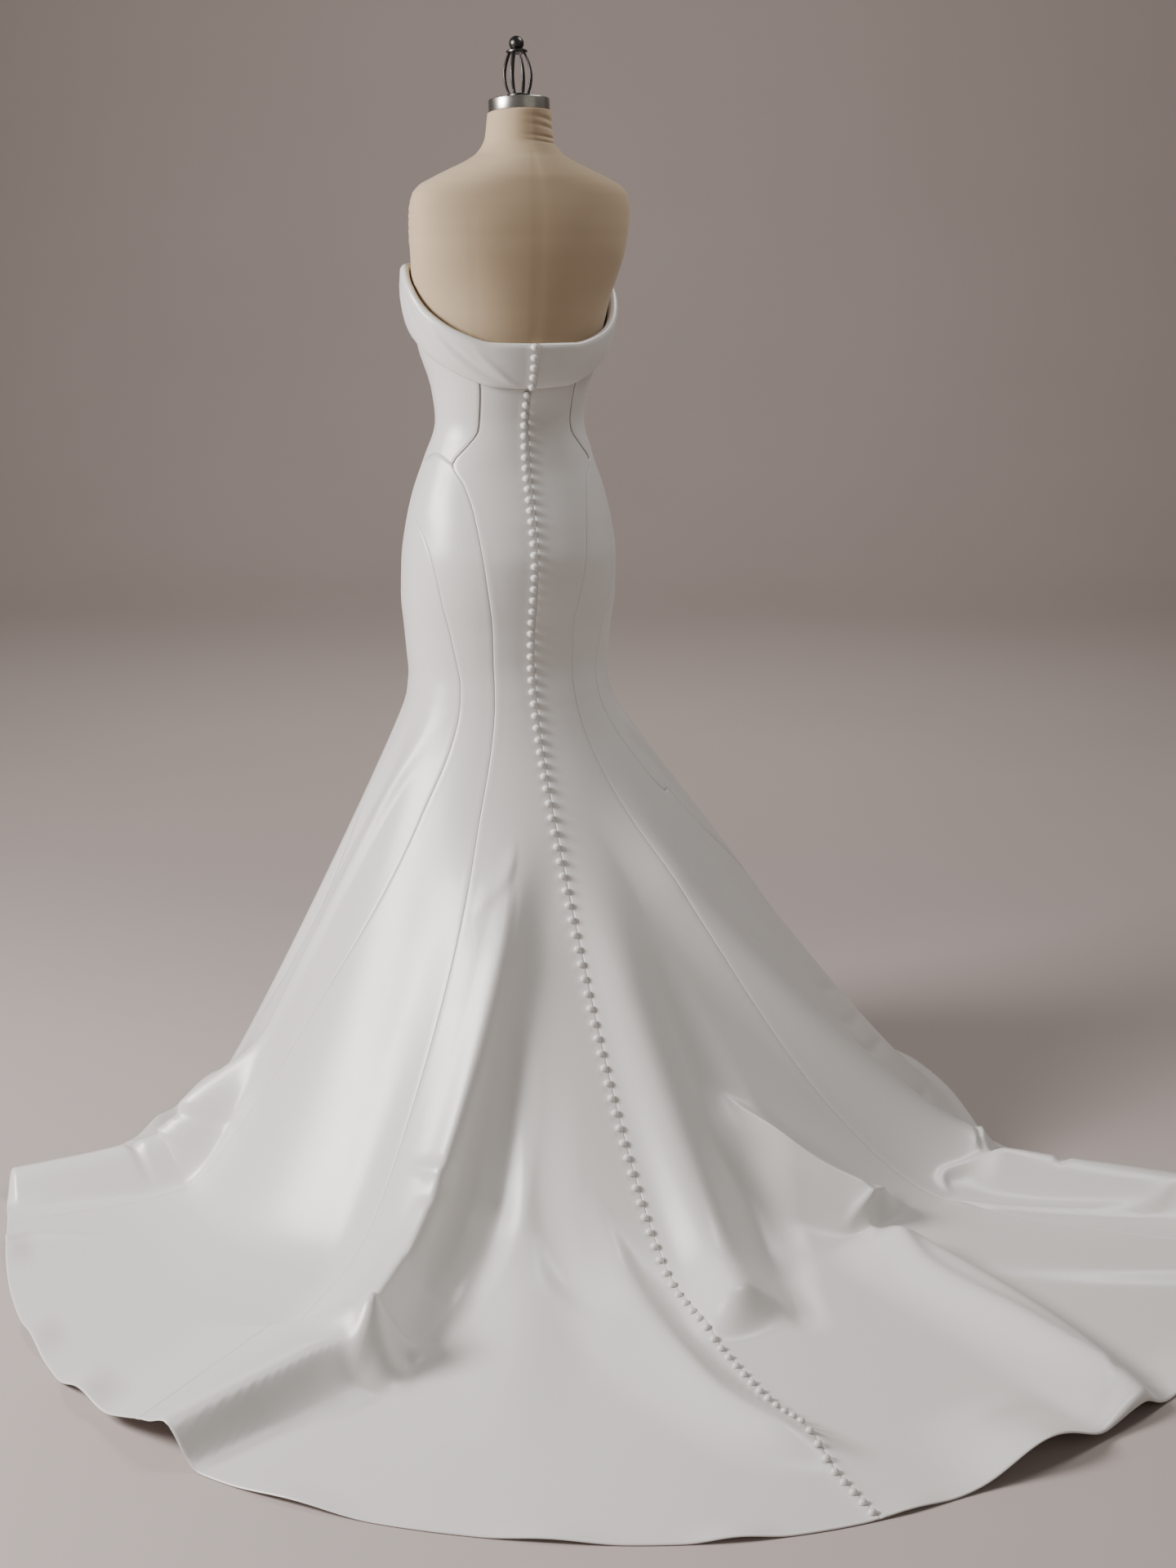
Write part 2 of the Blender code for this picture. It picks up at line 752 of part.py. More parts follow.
def build_buttons(placket_points, material, parent):
    """Runs of covered buttons down the placket of the left back panel."""
    line = [(row[0] + row[1]) / 2 for row in placket_points]
    facing = []
    for n in range(len(placket_points) - 1):
        row, below = placket_points[n], placket_points[n + 1]
        normal = (below[0] - row[0]).cross(row[1] - row[0]).normalized()
        facing.append(normal if normal.y + normal.z > 0 else -normal)
    facing.append(facing[-1])
    band_low = band_height(0.0, 2)
    distance = 0.0
    while along_line(line, distance)[0].z > band_low - 0.010:
        distance += 0.001
    length = sum((b - a).length for a, b in zip(line, line[1:]))
    waiting = sum(run.count for run in BUTTON_RUNS)
    for run in BUTTON_RUNS:
        centres = []
        even = (length - LAST_BUTTON_TO_HEM - distance) / (waiting - 1)
        for k in range(run.count):
            point, direction = along_line(line, distance)
            segment = min(range(len(line) - 1), key=lambda n: segment_gap(line, n, point))
            normal = facing[segment]
            centres.append((point + normal * button_height(run.lift), direction, normal))
            share = k / (run.count - 1)
            pitch = run.first_pitch + (run.last_pitch - run.first_pitch) * share
            distance += pitch or even
            waiting -= 1
        add_object(run.name, bead_run(centres), material, parent)


def segment_gap(line, n, point):
    """How much longer the way through a point is than a line's segment."""
    a, b = line[n], line[n + 1]
    return (point - a).length + (b - point).length - (b - a).length


def build_band_buttons(material, parent):
    """The buttons on the folded band, beside its opening."""
    angle = math.degrees(PLACKET / 2 / (section_point(GOWN, 1.28, 0.0).y + BAND_STAND))
    face = [band_point(angle, *BAND_PATH[n]) for n in (4, 5, 6)]
    drop = (face[-1] - face[1]).normalized()
    line = [face[0], face[1], face[1] + drop * (face[1].z - band_height(0.0, 2) - 0.004)]
    total = sum((b - a).length for a, b in zip(line, line[1:]))
    centres = []
    for k in range(BAND_BUTTONS):
        point, direction = along_line(line, total * (k + 0.3) / (BAND_BUTTONS - 0.7))
        normal = direction.cross(Vector((-1.0, 0.0, 0.0))).normalized()
        normal = normal if normal.y > 0 else -normal
        stand = WALL / 2 + button_height(BAND_BUTTON_LIFT)
        centres.append((point + normal * stand, direction, normal))
    add_object("buttons_band", bead_run(centres), material, parent)


def build_form(linen, parent):
    """The torso and neck of the dress form: one smooth closed body."""
    rings = []
    inset = WALL + FORM_GAP
    below = [FORM_FOOT] + [v for v in sorted(LEVELS_ABOVE_KNEE) if v > FORM_FOOT]
    for height in below + [RIM_FIXED_LEVEL, 1.26, 1.32, 1.38, 1.425]:
        extra = 0.0 if WAIST_REST[0] <= height <= WAIST_REST[1] else FORM_EASE
        rings.append([section_point(GOWN, height, a, inset + extra) for a in form_angles()])
    for row in FORM_TOP:
        rings.append([section_point(FORM_TOP, row.height, a) for a in form_angles()])
    bm = bmesh.new()
    loops = [[bm.verts.new(p) for p in ring] for ring in rings]
    for lower, upper in zip(loops, loops[1:]):
        for j in range(FORM_COLUMNS):
            k = (j + 1) % FORM_COLUMNS
            bm.faces.new((lower[j], lower[k], upper[k], upper[j]))
    bm.faces.new(loops[0])
    bm.faces.new(list(reversed(loops[-1])))
    bmesh.ops.recalc_face_normals(bm, faces=bm.faces)
    add_object("form_body", bm, linen, parent)


def form_angles():
    return [360.0 * j / FORM_COLUMNS for j in range(FORM_COLUMNS)]


def turned(profile, segments=24):
    """A closed turned body from (radius, height) pairs, bottom to top."""
    bm = bmesh.new()
    rings = []
    for radius, height in profile:
        ring = []
        for n in range(segments):
            turn = 2 * math.pi * n / segments
            spot = (radius * math.cos(turn), radius * math.sin(turn), height)
            ring.append(bm.verts.new(spot))
        rings.append(ring)
    for a, b in zip(rings, rings[1:]):
        for n in range(segments):
            m = (n + 1) % segments
            bm.faces.new((a[n], a[m], b[m], b[n]))
    bm.faces.new(list(reversed(rings[0])))
    bm.faces.new(rings[-1])
    return bm


def build_stand(iron, steel, parent):
    """Round base with a low boss, and the pole up to the form's foot."""
    edge = 0.004
    base = turned(
        (
            (BASE_RADIUS - edge, 0.0),
            (BASE_RADIUS, edge),
            (BASE_RADIUS, BASE_HEIGHT - edge),
            (BASE_RADIUS - edge, BASE_HEIGHT),
            (0.045, BASE_HEIGHT + 0.006),
            (0.030, BASE_HEIGHT + 0.030),
            (POLE_RADIUS + 0.006, BASE_HEIGHT + 0.034),
        ),
        32,
    )
    add_object("stand_base", base, iron, parent)
    foot = BASE_HEIGHT + 0.034 + SEAM_GAP
    pole = turned(((POLE_RADIUS, foot), (POLE_RADIUS, FORM_FOOT - SEAM_GAP)), 16)
    add_object("stand_pole", pole, steel, parent)


def build_neck_cap(steel, parent):
    """Metal band with a low lid on the neck, tipped a little with it."""
    foot = NECK_TOP + SEAM_GAP + CAP_RADIUS * math.sin(CAP_TILT)
    bevel = 0.0015
    cap = turned(
        (
            (CAP_RADIUS, 0.0),
            (CAP_RADIUS, CAP_HEIGHT - bevel),
            (CAP_RADIUS - bevel, CAP_HEIGHT),
            (0.010, CAP_HEIGHT + 0.002),
        ),
        32,
    )
    turn = Matrix.Rotation(CAP_TILT, 4, "X")
    place = Matrix.Translation((-LEAN * (NECK_TOP - WAIST), NECK_Y, foot)) @ turn
    cap.transform(place)
    add_object("neck_cap", cap, steel, parent)
    return place @ Matrix.Translation((0.0, 0.0, CAP_HEIGHT + 0.002 + SEAM_GAP))


def tube(points, radius, sides):
    """A closed round bar through points."""
    bm = bmesh.new()
    rings = []
    for n, point in enumerate(points):
        ahead = points[min(n + 1, len(points) - 1)]
        behind = points[max(n - 1, 0)]
        along = (ahead - behind).normalized()
        across = along.cross(Vector((0.0, 0.0, 1.0)).cross(along)).normalized()
        side = along.cross(across)
        ring = []
        for k in range(sides):
            turn = 2 * math.pi * k / sides
            ring.append(bm.verts.new(point + (across * math.cos(turn) + side * math.sin(turn)) * radius))
        rings.append(ring)
    for a, b in zip(rings, rings[1:]):
        for k in range(sides):
            m = (k + 1) % sides
            bm.faces.new((a[k], a[m], b[m], b[k]))
    bm.faces.new(list(reversed(rings[0])))
    bm.faces.new(rings[-1])
    bmesh.ops.recalc_face_normals(bm, faces=bm.faces)
    return bm


def build_finial(iron, parent, place):
    """Cage finial: ring, bars that bulge between ring and collar, and a ball."""
    ring_height = 0.005
    collar_low = ring_height + FINIAL_BAR_HEIGHT
    ball_middle = collar_low + 0.004 + FINIAL_BALL_RADIUS * 0.9
    parts = []
    for n in range(FINIAL_BARS):
        turn = 2 * math.pi * n / FINIAL_BARS
        heading = Vector((math.cos(turn), math.sin(turn), 0.0))
        points = []
        for k in range(7):
            share = k / 6
            ends = FINIAL_BASE_RADIUS - 0.003
            ends += (FINIAL_NECK_RADIUS - FINIAL_BASE_RADIUS) * share
            bulge = FINIAL_BULGE * math.sin(math.pi * min(1.0, share * 1.02)) ** 0.9
            height = ring_height - 0.002 + (FINIAL_BAR_HEIGHT + 0.004) * share
            points.append(heading * (ends + bulge) + Vector((0.0, 0.0, height)))
        parts.append(tube(points, FINIAL_BAR_RADIUS, 6))
    ball = [
        (FINIAL_BALL_RADIUS * math.sin(math.pi * k / 9), -math.cos(math.pi * k / 9))
        for k in range(2, 9)
    ]
    top = [(r, ball_middle + FINIAL_BALL_RADIUS * c) for r, c in ball]
    low = turned(
        (
            (FINIAL_BASE_RADIUS, 0.0),
            (FINIAL_BASE_RADIUS + 0.001, ring_height * 0.5),
            (FINIAL_BASE_RADIUS, ring_height),
        ),
        20,
    )
    high = turned(
        (
            (FINIAL_NECK_RADIUS - 0.001, collar_low),
            (FINIAL_NECK_RADIUS + 0.001, collar_low + 0.0025),
            (FINIAL_NECK_RADIUS - 0.002, collar_low + 0.005),
            *top,
        ),
        20,
    )
    body = add_object("cage_finial", low, iron, parent)
    for n, piece in enumerate(parts + [high]):
        piece.transform(place)
        cutter = add_object(f"finial_piece_{n}", piece, iron, parent)
        cutter.hide_render = True
        cutter.display_type = "WIRE"
        join = body.modifiers.new(f"join_{n}", "BOOLEAN")
        join.operation = "UNION"
        join.solver = "EXACT"
        join.object = cutter
    body.data.transform(place)


def main():
    for item in list(bpy.data.objects):
        bpy.data.objects.remove(item, do_unlink=True)
    satin = new_material("ivory_satin", (0.87, 0.86, 0.83), 0.38)
    linen = new_material("natural_linen", (0.62, 0.53, 0.41), 0.85)
    steel = new_material("brushed_metal", (0.62, 0.60, 0.57), 0.30, 1.0)
    iron = new_material("dark_iron", (0.10, 0.10, 0.10), 0.45, 0.8)
    root = bpy.data.objects.new("wedding_dress", None)
    bpy.context.scene.collection.objects.link(root)
    placket_points = build_panels(satin, root)
    build_band(satin, root)
    build_buttons(placket_points, satin, root)
    build_band_buttons(satin, root)
    build_form(linen, root)
    build_stand(iron, steel, root)
    place = build_neck_cap(steel, root)
    build_finial(iron, root, place)


main()
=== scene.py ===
"""Studio scene of a strapless trumpet wedding dress worn by a limbless dress form.

Metres, Z up. The wearer faces -Y, the train lies toward +Y and +X is the wearer's left.
Angles run round the stand in degrees: 0 at the centre back, +90 at the wearer's left side,
180 at the centre front. Above the knee line a level is a height; below it the level falls
to 0 at the hem in step with the distance out from the knee line.
"""
import logging
import math
from bisect import bisect_right
from dataclasses import dataclass, field, replace
from enum import Enum
from typing import Callable, NamedTuple, Sequence

import bmesh
import bpy
from mathutils import Matrix, Vector, noise


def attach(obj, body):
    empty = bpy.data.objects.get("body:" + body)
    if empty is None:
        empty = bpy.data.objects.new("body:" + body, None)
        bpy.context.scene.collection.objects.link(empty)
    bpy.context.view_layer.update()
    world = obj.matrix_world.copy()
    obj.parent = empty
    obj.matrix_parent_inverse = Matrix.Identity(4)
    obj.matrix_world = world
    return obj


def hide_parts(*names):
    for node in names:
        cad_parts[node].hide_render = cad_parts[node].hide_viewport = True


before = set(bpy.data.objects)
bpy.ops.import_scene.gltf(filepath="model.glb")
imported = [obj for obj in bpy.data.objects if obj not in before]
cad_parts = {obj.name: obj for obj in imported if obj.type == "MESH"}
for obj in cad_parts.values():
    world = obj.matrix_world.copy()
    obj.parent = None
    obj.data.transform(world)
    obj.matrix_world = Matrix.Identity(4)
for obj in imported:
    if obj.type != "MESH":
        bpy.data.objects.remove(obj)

LOG = logging.getLogger("wedding_dress")
BODY = "root"
TAU = 2.0 * math.pi


class Section(NamedTuple):
    """One level slice: half width, reach back (+Y) and forward (-Y), widest line's Y."""

    height: float
    half_width: float
    back: float
    front: float
    widest: float


class Sweep(NamedTuple):
    """How the skirt runs out at one angle: where it meets the floor, its hem and its sag."""

    angle: float
    contact: float
    hem: float
    sag: float


class Fold(NamedTuple):
    """A large ridge from one (radius, angle) to another, with half widths and heights."""

    name: str
    radius_0: float
    angle_0: float
    radius_1: float
    angle_1: float
    bow: float
    width_0: float
    width_1: float
    height_0: float
    height_1: float
    lean: float
    fade_in: float
    fade_out: float
    spread: float


class Station(NamedTuple):
    """One station of a crease, walked from its start: how far it reaches to the left and to
    the right of the walker, and how high it stands (below 0: how deep)."""

    radius: float
    angle: float
    left: float
    right: float
    height: float


class Crease(NamedTuple):
    """A ridge or trough through its stations, round (0) to sharp (1) along its line."""

    name: str
    crisp: float
    stations: tuple[Station, ...]


class SeamPoint(NamedTuple):
    """Where a seam lies at one level."""

    level: float
    angle: float


class RimPoint(NamedTuple):
    """Top and bottom edge of the band at one angle from the centre back."""

    angle: float
    top: float
    low: float


class CuffPoint(NamedTuple):
    """A point on the cuff's path: how far it stands off the bodice, and where it lies.

    The place is a height over the bodice's rim, or a share of the way from the band's low
    edge up to that rim.
    """

    stand: float
    datum: str
    place: float


class SoftFold(NamedTuple):
    """A slack fold in the cuff: angle, share of the way down, slant, half width and depth."""

    angle: float
    down: float
    slant: float
    spread: float
    depth: float


class Run(NamedTuple):
    """A run of buttons: how many, and its first and last spacing (0 fills to the hem)."""

    name: str
    count: int
    first: float
    last: float


class HemLift(NamedTuple):
    """A place where the hem stands off the floor: angle, half width, lift and reach inward."""

    angle: float
    half_width: float
    lift: float
    reach: float


# Cloth.
WALL = 0.002
FLOOR_GAP = 0.0005
TOP_OF_FLAT_CLOTH = FLOOR_GAP + WALL

# Heights of the dress. The form leans a little to its right, as it stands.
KNEE = 0.78
WAIST = 1.19
LEAN = 0.02
RIM_FIXED_LEVEL = 1.21
HIP_SEAM_LEVEL = 1.13
GORE_TOP_LEVEL = 1.06
HIP_SEAM_RISE = 0.014

# How the skirt leaves the knee, meets the floor and takes its folds.
KNEE_SOFTNESS = 0.025
KNEE_WINDOW = 0.035
KNEE_EASED = 0.08
FLOOR_EASE = 0.022
FLOOR_RUN = 0.2
SKIRT_RUN = 1.1
FOLD_MERGE = 2.5
FOLD_REACH = 1.6
FOLD_SHARPNESS = 1.5

# The folded band, whose edge drops a little on the wearer's right.
BAND_EDGE = 0.012
RIGHT_DROP = 0.014
RIGHT_DROP_ANGLE = -76.0
RIGHT_DROP_SPREAD = 38.0
RIM_GAP = 0.0008

GOWN = (
    Section(0.78, 0.160, 0.135, 0.120, 0.008),
    Section(0.82, 0.164, 0.127, 0.118, 0.004),
    Section(0.87, 0.169, 0.127, 0.120, 0.003),
    Section(0.92, 0.174, 0.134, 0.124, 0.004),
    Section(0.975, 0.173, 0.139, 0.124, 0.004),
    Section(1.03, 0.166, 0.128, 0.120, 0.003),
    Section(1.08, 0.1545, 0.111, 0.112, 0.0),
    Section(1.13, 0.137, 0.095, 0.100, -0.002),
    Section(1.19, 0.118, 0.087, 0.090, -0.002),
    Section(1.24, 0.1245, 0.098, 0.099, 0.0),
    Section(1.30, 0.1445, 0.110, 0.120, 0.002),
    Section(1.36, 0.158, 0.120, 0.130, 0.006),
    Section(1.43, 0.167, 0.122, 0.132, 0.030),
    Section(1.45, 0.168, 0.124, 0.126, 0.036),
)

FORM_TOP = (
    Section(1.455, 0.1690, 0.124, 0.116, 0.045),
    Section(1.485, 0.1725, 0.123, 0.100, 0.047),
    Section(1.510, 0.1735, 0.120, 0.085, 0.047),
    Section(1.530, 0.1700, 0.116, 0.070, 0.047),
    Section(1.543, 0.1600, 0.113, 0.060, 0.046),
    Section(1.555, 0.1380, 0.110, 0.050, 0.044),
    Section(1.567, 0.1120, 0.105, 0.042, 0.040),
    Section(1.580, 0.0830, 0.098, 0.033, 0.036),
    Section(1.592, 0.0640, 0.090, 0.026, 0.032),
    Section(1.612, 0.0520, 0.081, 0.019, 0.030),
    Section(1.645, 0.0475, 0.078, 0.018, 0.030),
)

SWEEPS = (
    Sweep(-180, 0.44, 0.455, 1.00),
    Sweep(-145, 0.50, 0.53, 1.05),
    Sweep(-110, 0.65, 0.69, 1.10),
    Sweep(-90, 0.755, 0.78, 1.12),
    Sweep(-75, 0.765, 0.78, 1.17),
    Sweep(-65, 0.77, 0.79, 1.24),
    Sweep(-60, 0.78, 0.84, 1.28),
    Sweep(-57, 0.785, 1.00, 1.30),
    Sweep(-53, 0.785, 1.14, 1.32),
    Sweep(-45, 0.78, 1.18, 1.35),
    Sweep(-25, 0.75, 1.265, 1.45),
    Sweep(0, 0.73, 1.27, 1.50),
    Sweep(25, 0.70, 1.205, 1.45),
    Sweep(45, 0.67, 1.11, 1.40),
    Sweep(65, 0.64, 0.97, 1.30),
    Sweep(85, 0.59, 0.86, 1.20),
    Sweep(92, 0.58, 0.84, 1.18),
    Sweep(98, 0.57, 0.735, 1.15),
    Sweep(106, 0.56, 0.64, 1.12),
    Sweep(120, 0.54, 0.585, 1.10),
    Sweep(145, 0.48, 0.51, 1.05),
    Sweep(180, 0.44, 0.455, 1.00),
)

# Name, start radius and angle, end radius and angle, bow, half widths, heights, lean, fades,
# and how much further the ridge spreads on its side away from the centre back.
FOLDS = (
    Fold("left_roll", 0.20, 18, 0.88, 33.5, 7.5, 0.056, 0.058, 0.022, 0.084, 0.014, 0.20, 0.12, 1.6),
    Fold("left_roll_foot", 0.76, 31, 1.17, 43, 1.5, 0.060, 0.036, 0.070, 0.042, 0.0, 0.20, 0.04, 4.0),
    Fold("left_flute", 0.42, 89, 0.84, 92, 0.0, 0.050, 0.045, 0.085, 0.040, 0.0, 0.25, 0.04, 1.2),
    Fold("back_flute", 0.22, -6, 0.80, -3, -2.5, 0.060, 0.070, 0.012, 0.050, 0.0, 0.25, 0.12, 0.8),
    Fold("right_step", 0.46, -17, 0.70, -32, 0.0, 0.045, 0.055, 0.012, 0.045, 0.012, 0.35, 0.16, 1.3),
    Fold("right_step_foot", 0.70, -27, 1.27, -19, -1.0, 0.050, 0.055, 0.045, 0.032, 0.012, 0.16, 0.05, 1.5),
    Fold("train_ripple", 0.58, 7, 1.12, 0, 2.0, 0.045, 0.045, 0.018, 0.026, 0.0, 0.25, 0.20, 1.8),
    Fold("right_flute", 0.19, -26, 0.80, -54, -6.0, 0.045, 0.090, 0.016, 0.062, 0.0, 0.20, 0.12, 1.0),
    Fold("right_flute_foot", 0.74, -50, 1.16, -51.5, 0.0, 0.045, 0.050, 0.055, 0.045, 0.0, 0.20, 0.04, 1.0),
    Fold("front_right", 0.20, -120, 0.66, -120, 0.0, 0.050, 0.110, 0.010, 0.035, 0.0, 0.35, 0.02, 1.0),
    Fold("front_left", 0.20, 128, 0.62, 128, 0.0, 0.050, 0.110, 0.010, 0.035, 0.0, 0.35, 0.02, 1.0),
    Fold("front_middle", 0.20, 176, 0.50, 176, 0.0, 0.050, 0.090, 0.008, 0.025, 0.0, 0.35, 0.02, 1.0),
    Fold("right_hem_arch", 1.08, -12, 1.30, -11, 0.0, 0.080, 0.110, 0.010, 0.030, 0.0, 0.40, 0.02, 1.0),
)

SIDE_SEAM = (
    SeamPoint(0.00, 104),
    SeamPoint(0.78, 101),
    SeamPoint(0.95, 101),
    SeamPoint(1.06, 99),
    SeamPoint(1.21, 90),
    SeamPoint(1.45, 92),
)

BACK_SEAM = (
    SeamPoint(0.00, 45.0),
    SeamPoint(0.30, 42.0),
    SeamPoint(0.50, 38.0),
    SeamPoint(0.70, 29.0),
    SeamPoint(0.78, 22.0),
    SeamPoint(0.87, 21.5),
    SeamPoint(0.96, 26.0),
    SeamPoint(1.06, 34.0),
    SeamPoint(1.10, 42.0),
    SeamPoint(1.13, 54.0),
    SeamPoint(1.155, 46.0),
    SeamPoint(1.18, 38.5),
    SeamPoint(1.21, 37.5),
    SeamPoint(1.45, 35.0),
)

GORE_SEAM = (
    SeamPoint(0.00, 85.0),
    SeamPoint(0.30, 82.0),
    SeamPoint(0.50, 73.0),
    SeamPoint(0.70, 54.0),
    SeamPoint(0.78, 42.5),
    SeamPoint(0.87, 47.0),
    SeamPoint(0.93, 53.0),
    SeamPoint(0.975, 59.0),
    SeamPoint(1.015, 68.0),
    SeamPoint(1.04, 80.0),
    SeamPoint(1.06, 98.4),
)

PRINCESS_SEAM = (
    SeamPoint(0.00, 142),
    SeamPoint(0.78, 140),
    SeamPoint(1.00, 142),
    SeamPoint(1.19, 146),
    SeamPoint(1.45, 140),
)

BAND = (
    RimPoint(0, 1.310, 1.245),
    RimPoint(24, 1.312, 1.248),
    RimPoint(45, 1.328, 1.262),
    RimPoint(68, 1.358, 1.286),
    RimPoint(88, 1.392, 1.312),
    RimPoint(112, 1.425, 1.338),
    RimPoint(150, 1.428, 1.345),
    RimPoint(180, 1.418, 1.338),
)

SOFT_FOLDS = (
    SoftFold(22, 0.55, -18, 0.10, 0.0012),
    SoftFold(40, 0.45, -34, 0.09, -0.0012),
    SoftFold(58, 0.35, -30, 0.10, 0.0014),
    SoftFold(78, 0.40, -26, 0.10, -0.0012),
    SoftFold(96, 0.50, -20, 0.12, 0.0012),
    SoftFold(-30, 0.50, 22, 0.12, 0.0008),
    SoftFold(-60, 0.45, 24, 0.12, -0.0008),
    SoftFold(-95, 0.50, 20, 0.13, 0.0010),
    SoftFold(150, 0.50, 26, 0.14, 0.0010),
    SoftFold(-150, 0.50, -26, 0.14, 0.0010),
)

HEM_LIFTS = (
    HemLift(-12, 5.5, 0.012, 0.10),
    HemLift(52, 4.0, 0.020, 0.10),
    HemLift(62, 4.0, 0.010, 0.08),
    HemLift(33, 5.0, 0.007, 0.06),
    HemLift(18, 4.0, 0.005, 0.05),
    HemLift(8, 3.0, 0.006, 0.05),
    HemLift(-2, 3.0, 0.004, 0.04),
    HemLift(-27, 5.0, 0.010, 0.08),
    HemLift(-48, 5.0, 0.010, 0.08),
    HemLift(78, 5.0, 0.008, 0.07),
    HemLift(112, 6.0, 0.010, 0.06),
    HemLift(-105, 6.0, 0.010, 0.06),
    HemLift(150, 6.0, 0.006, 0.05),
    HemLift(-150, 6.0, 0.006, 0.05),
)

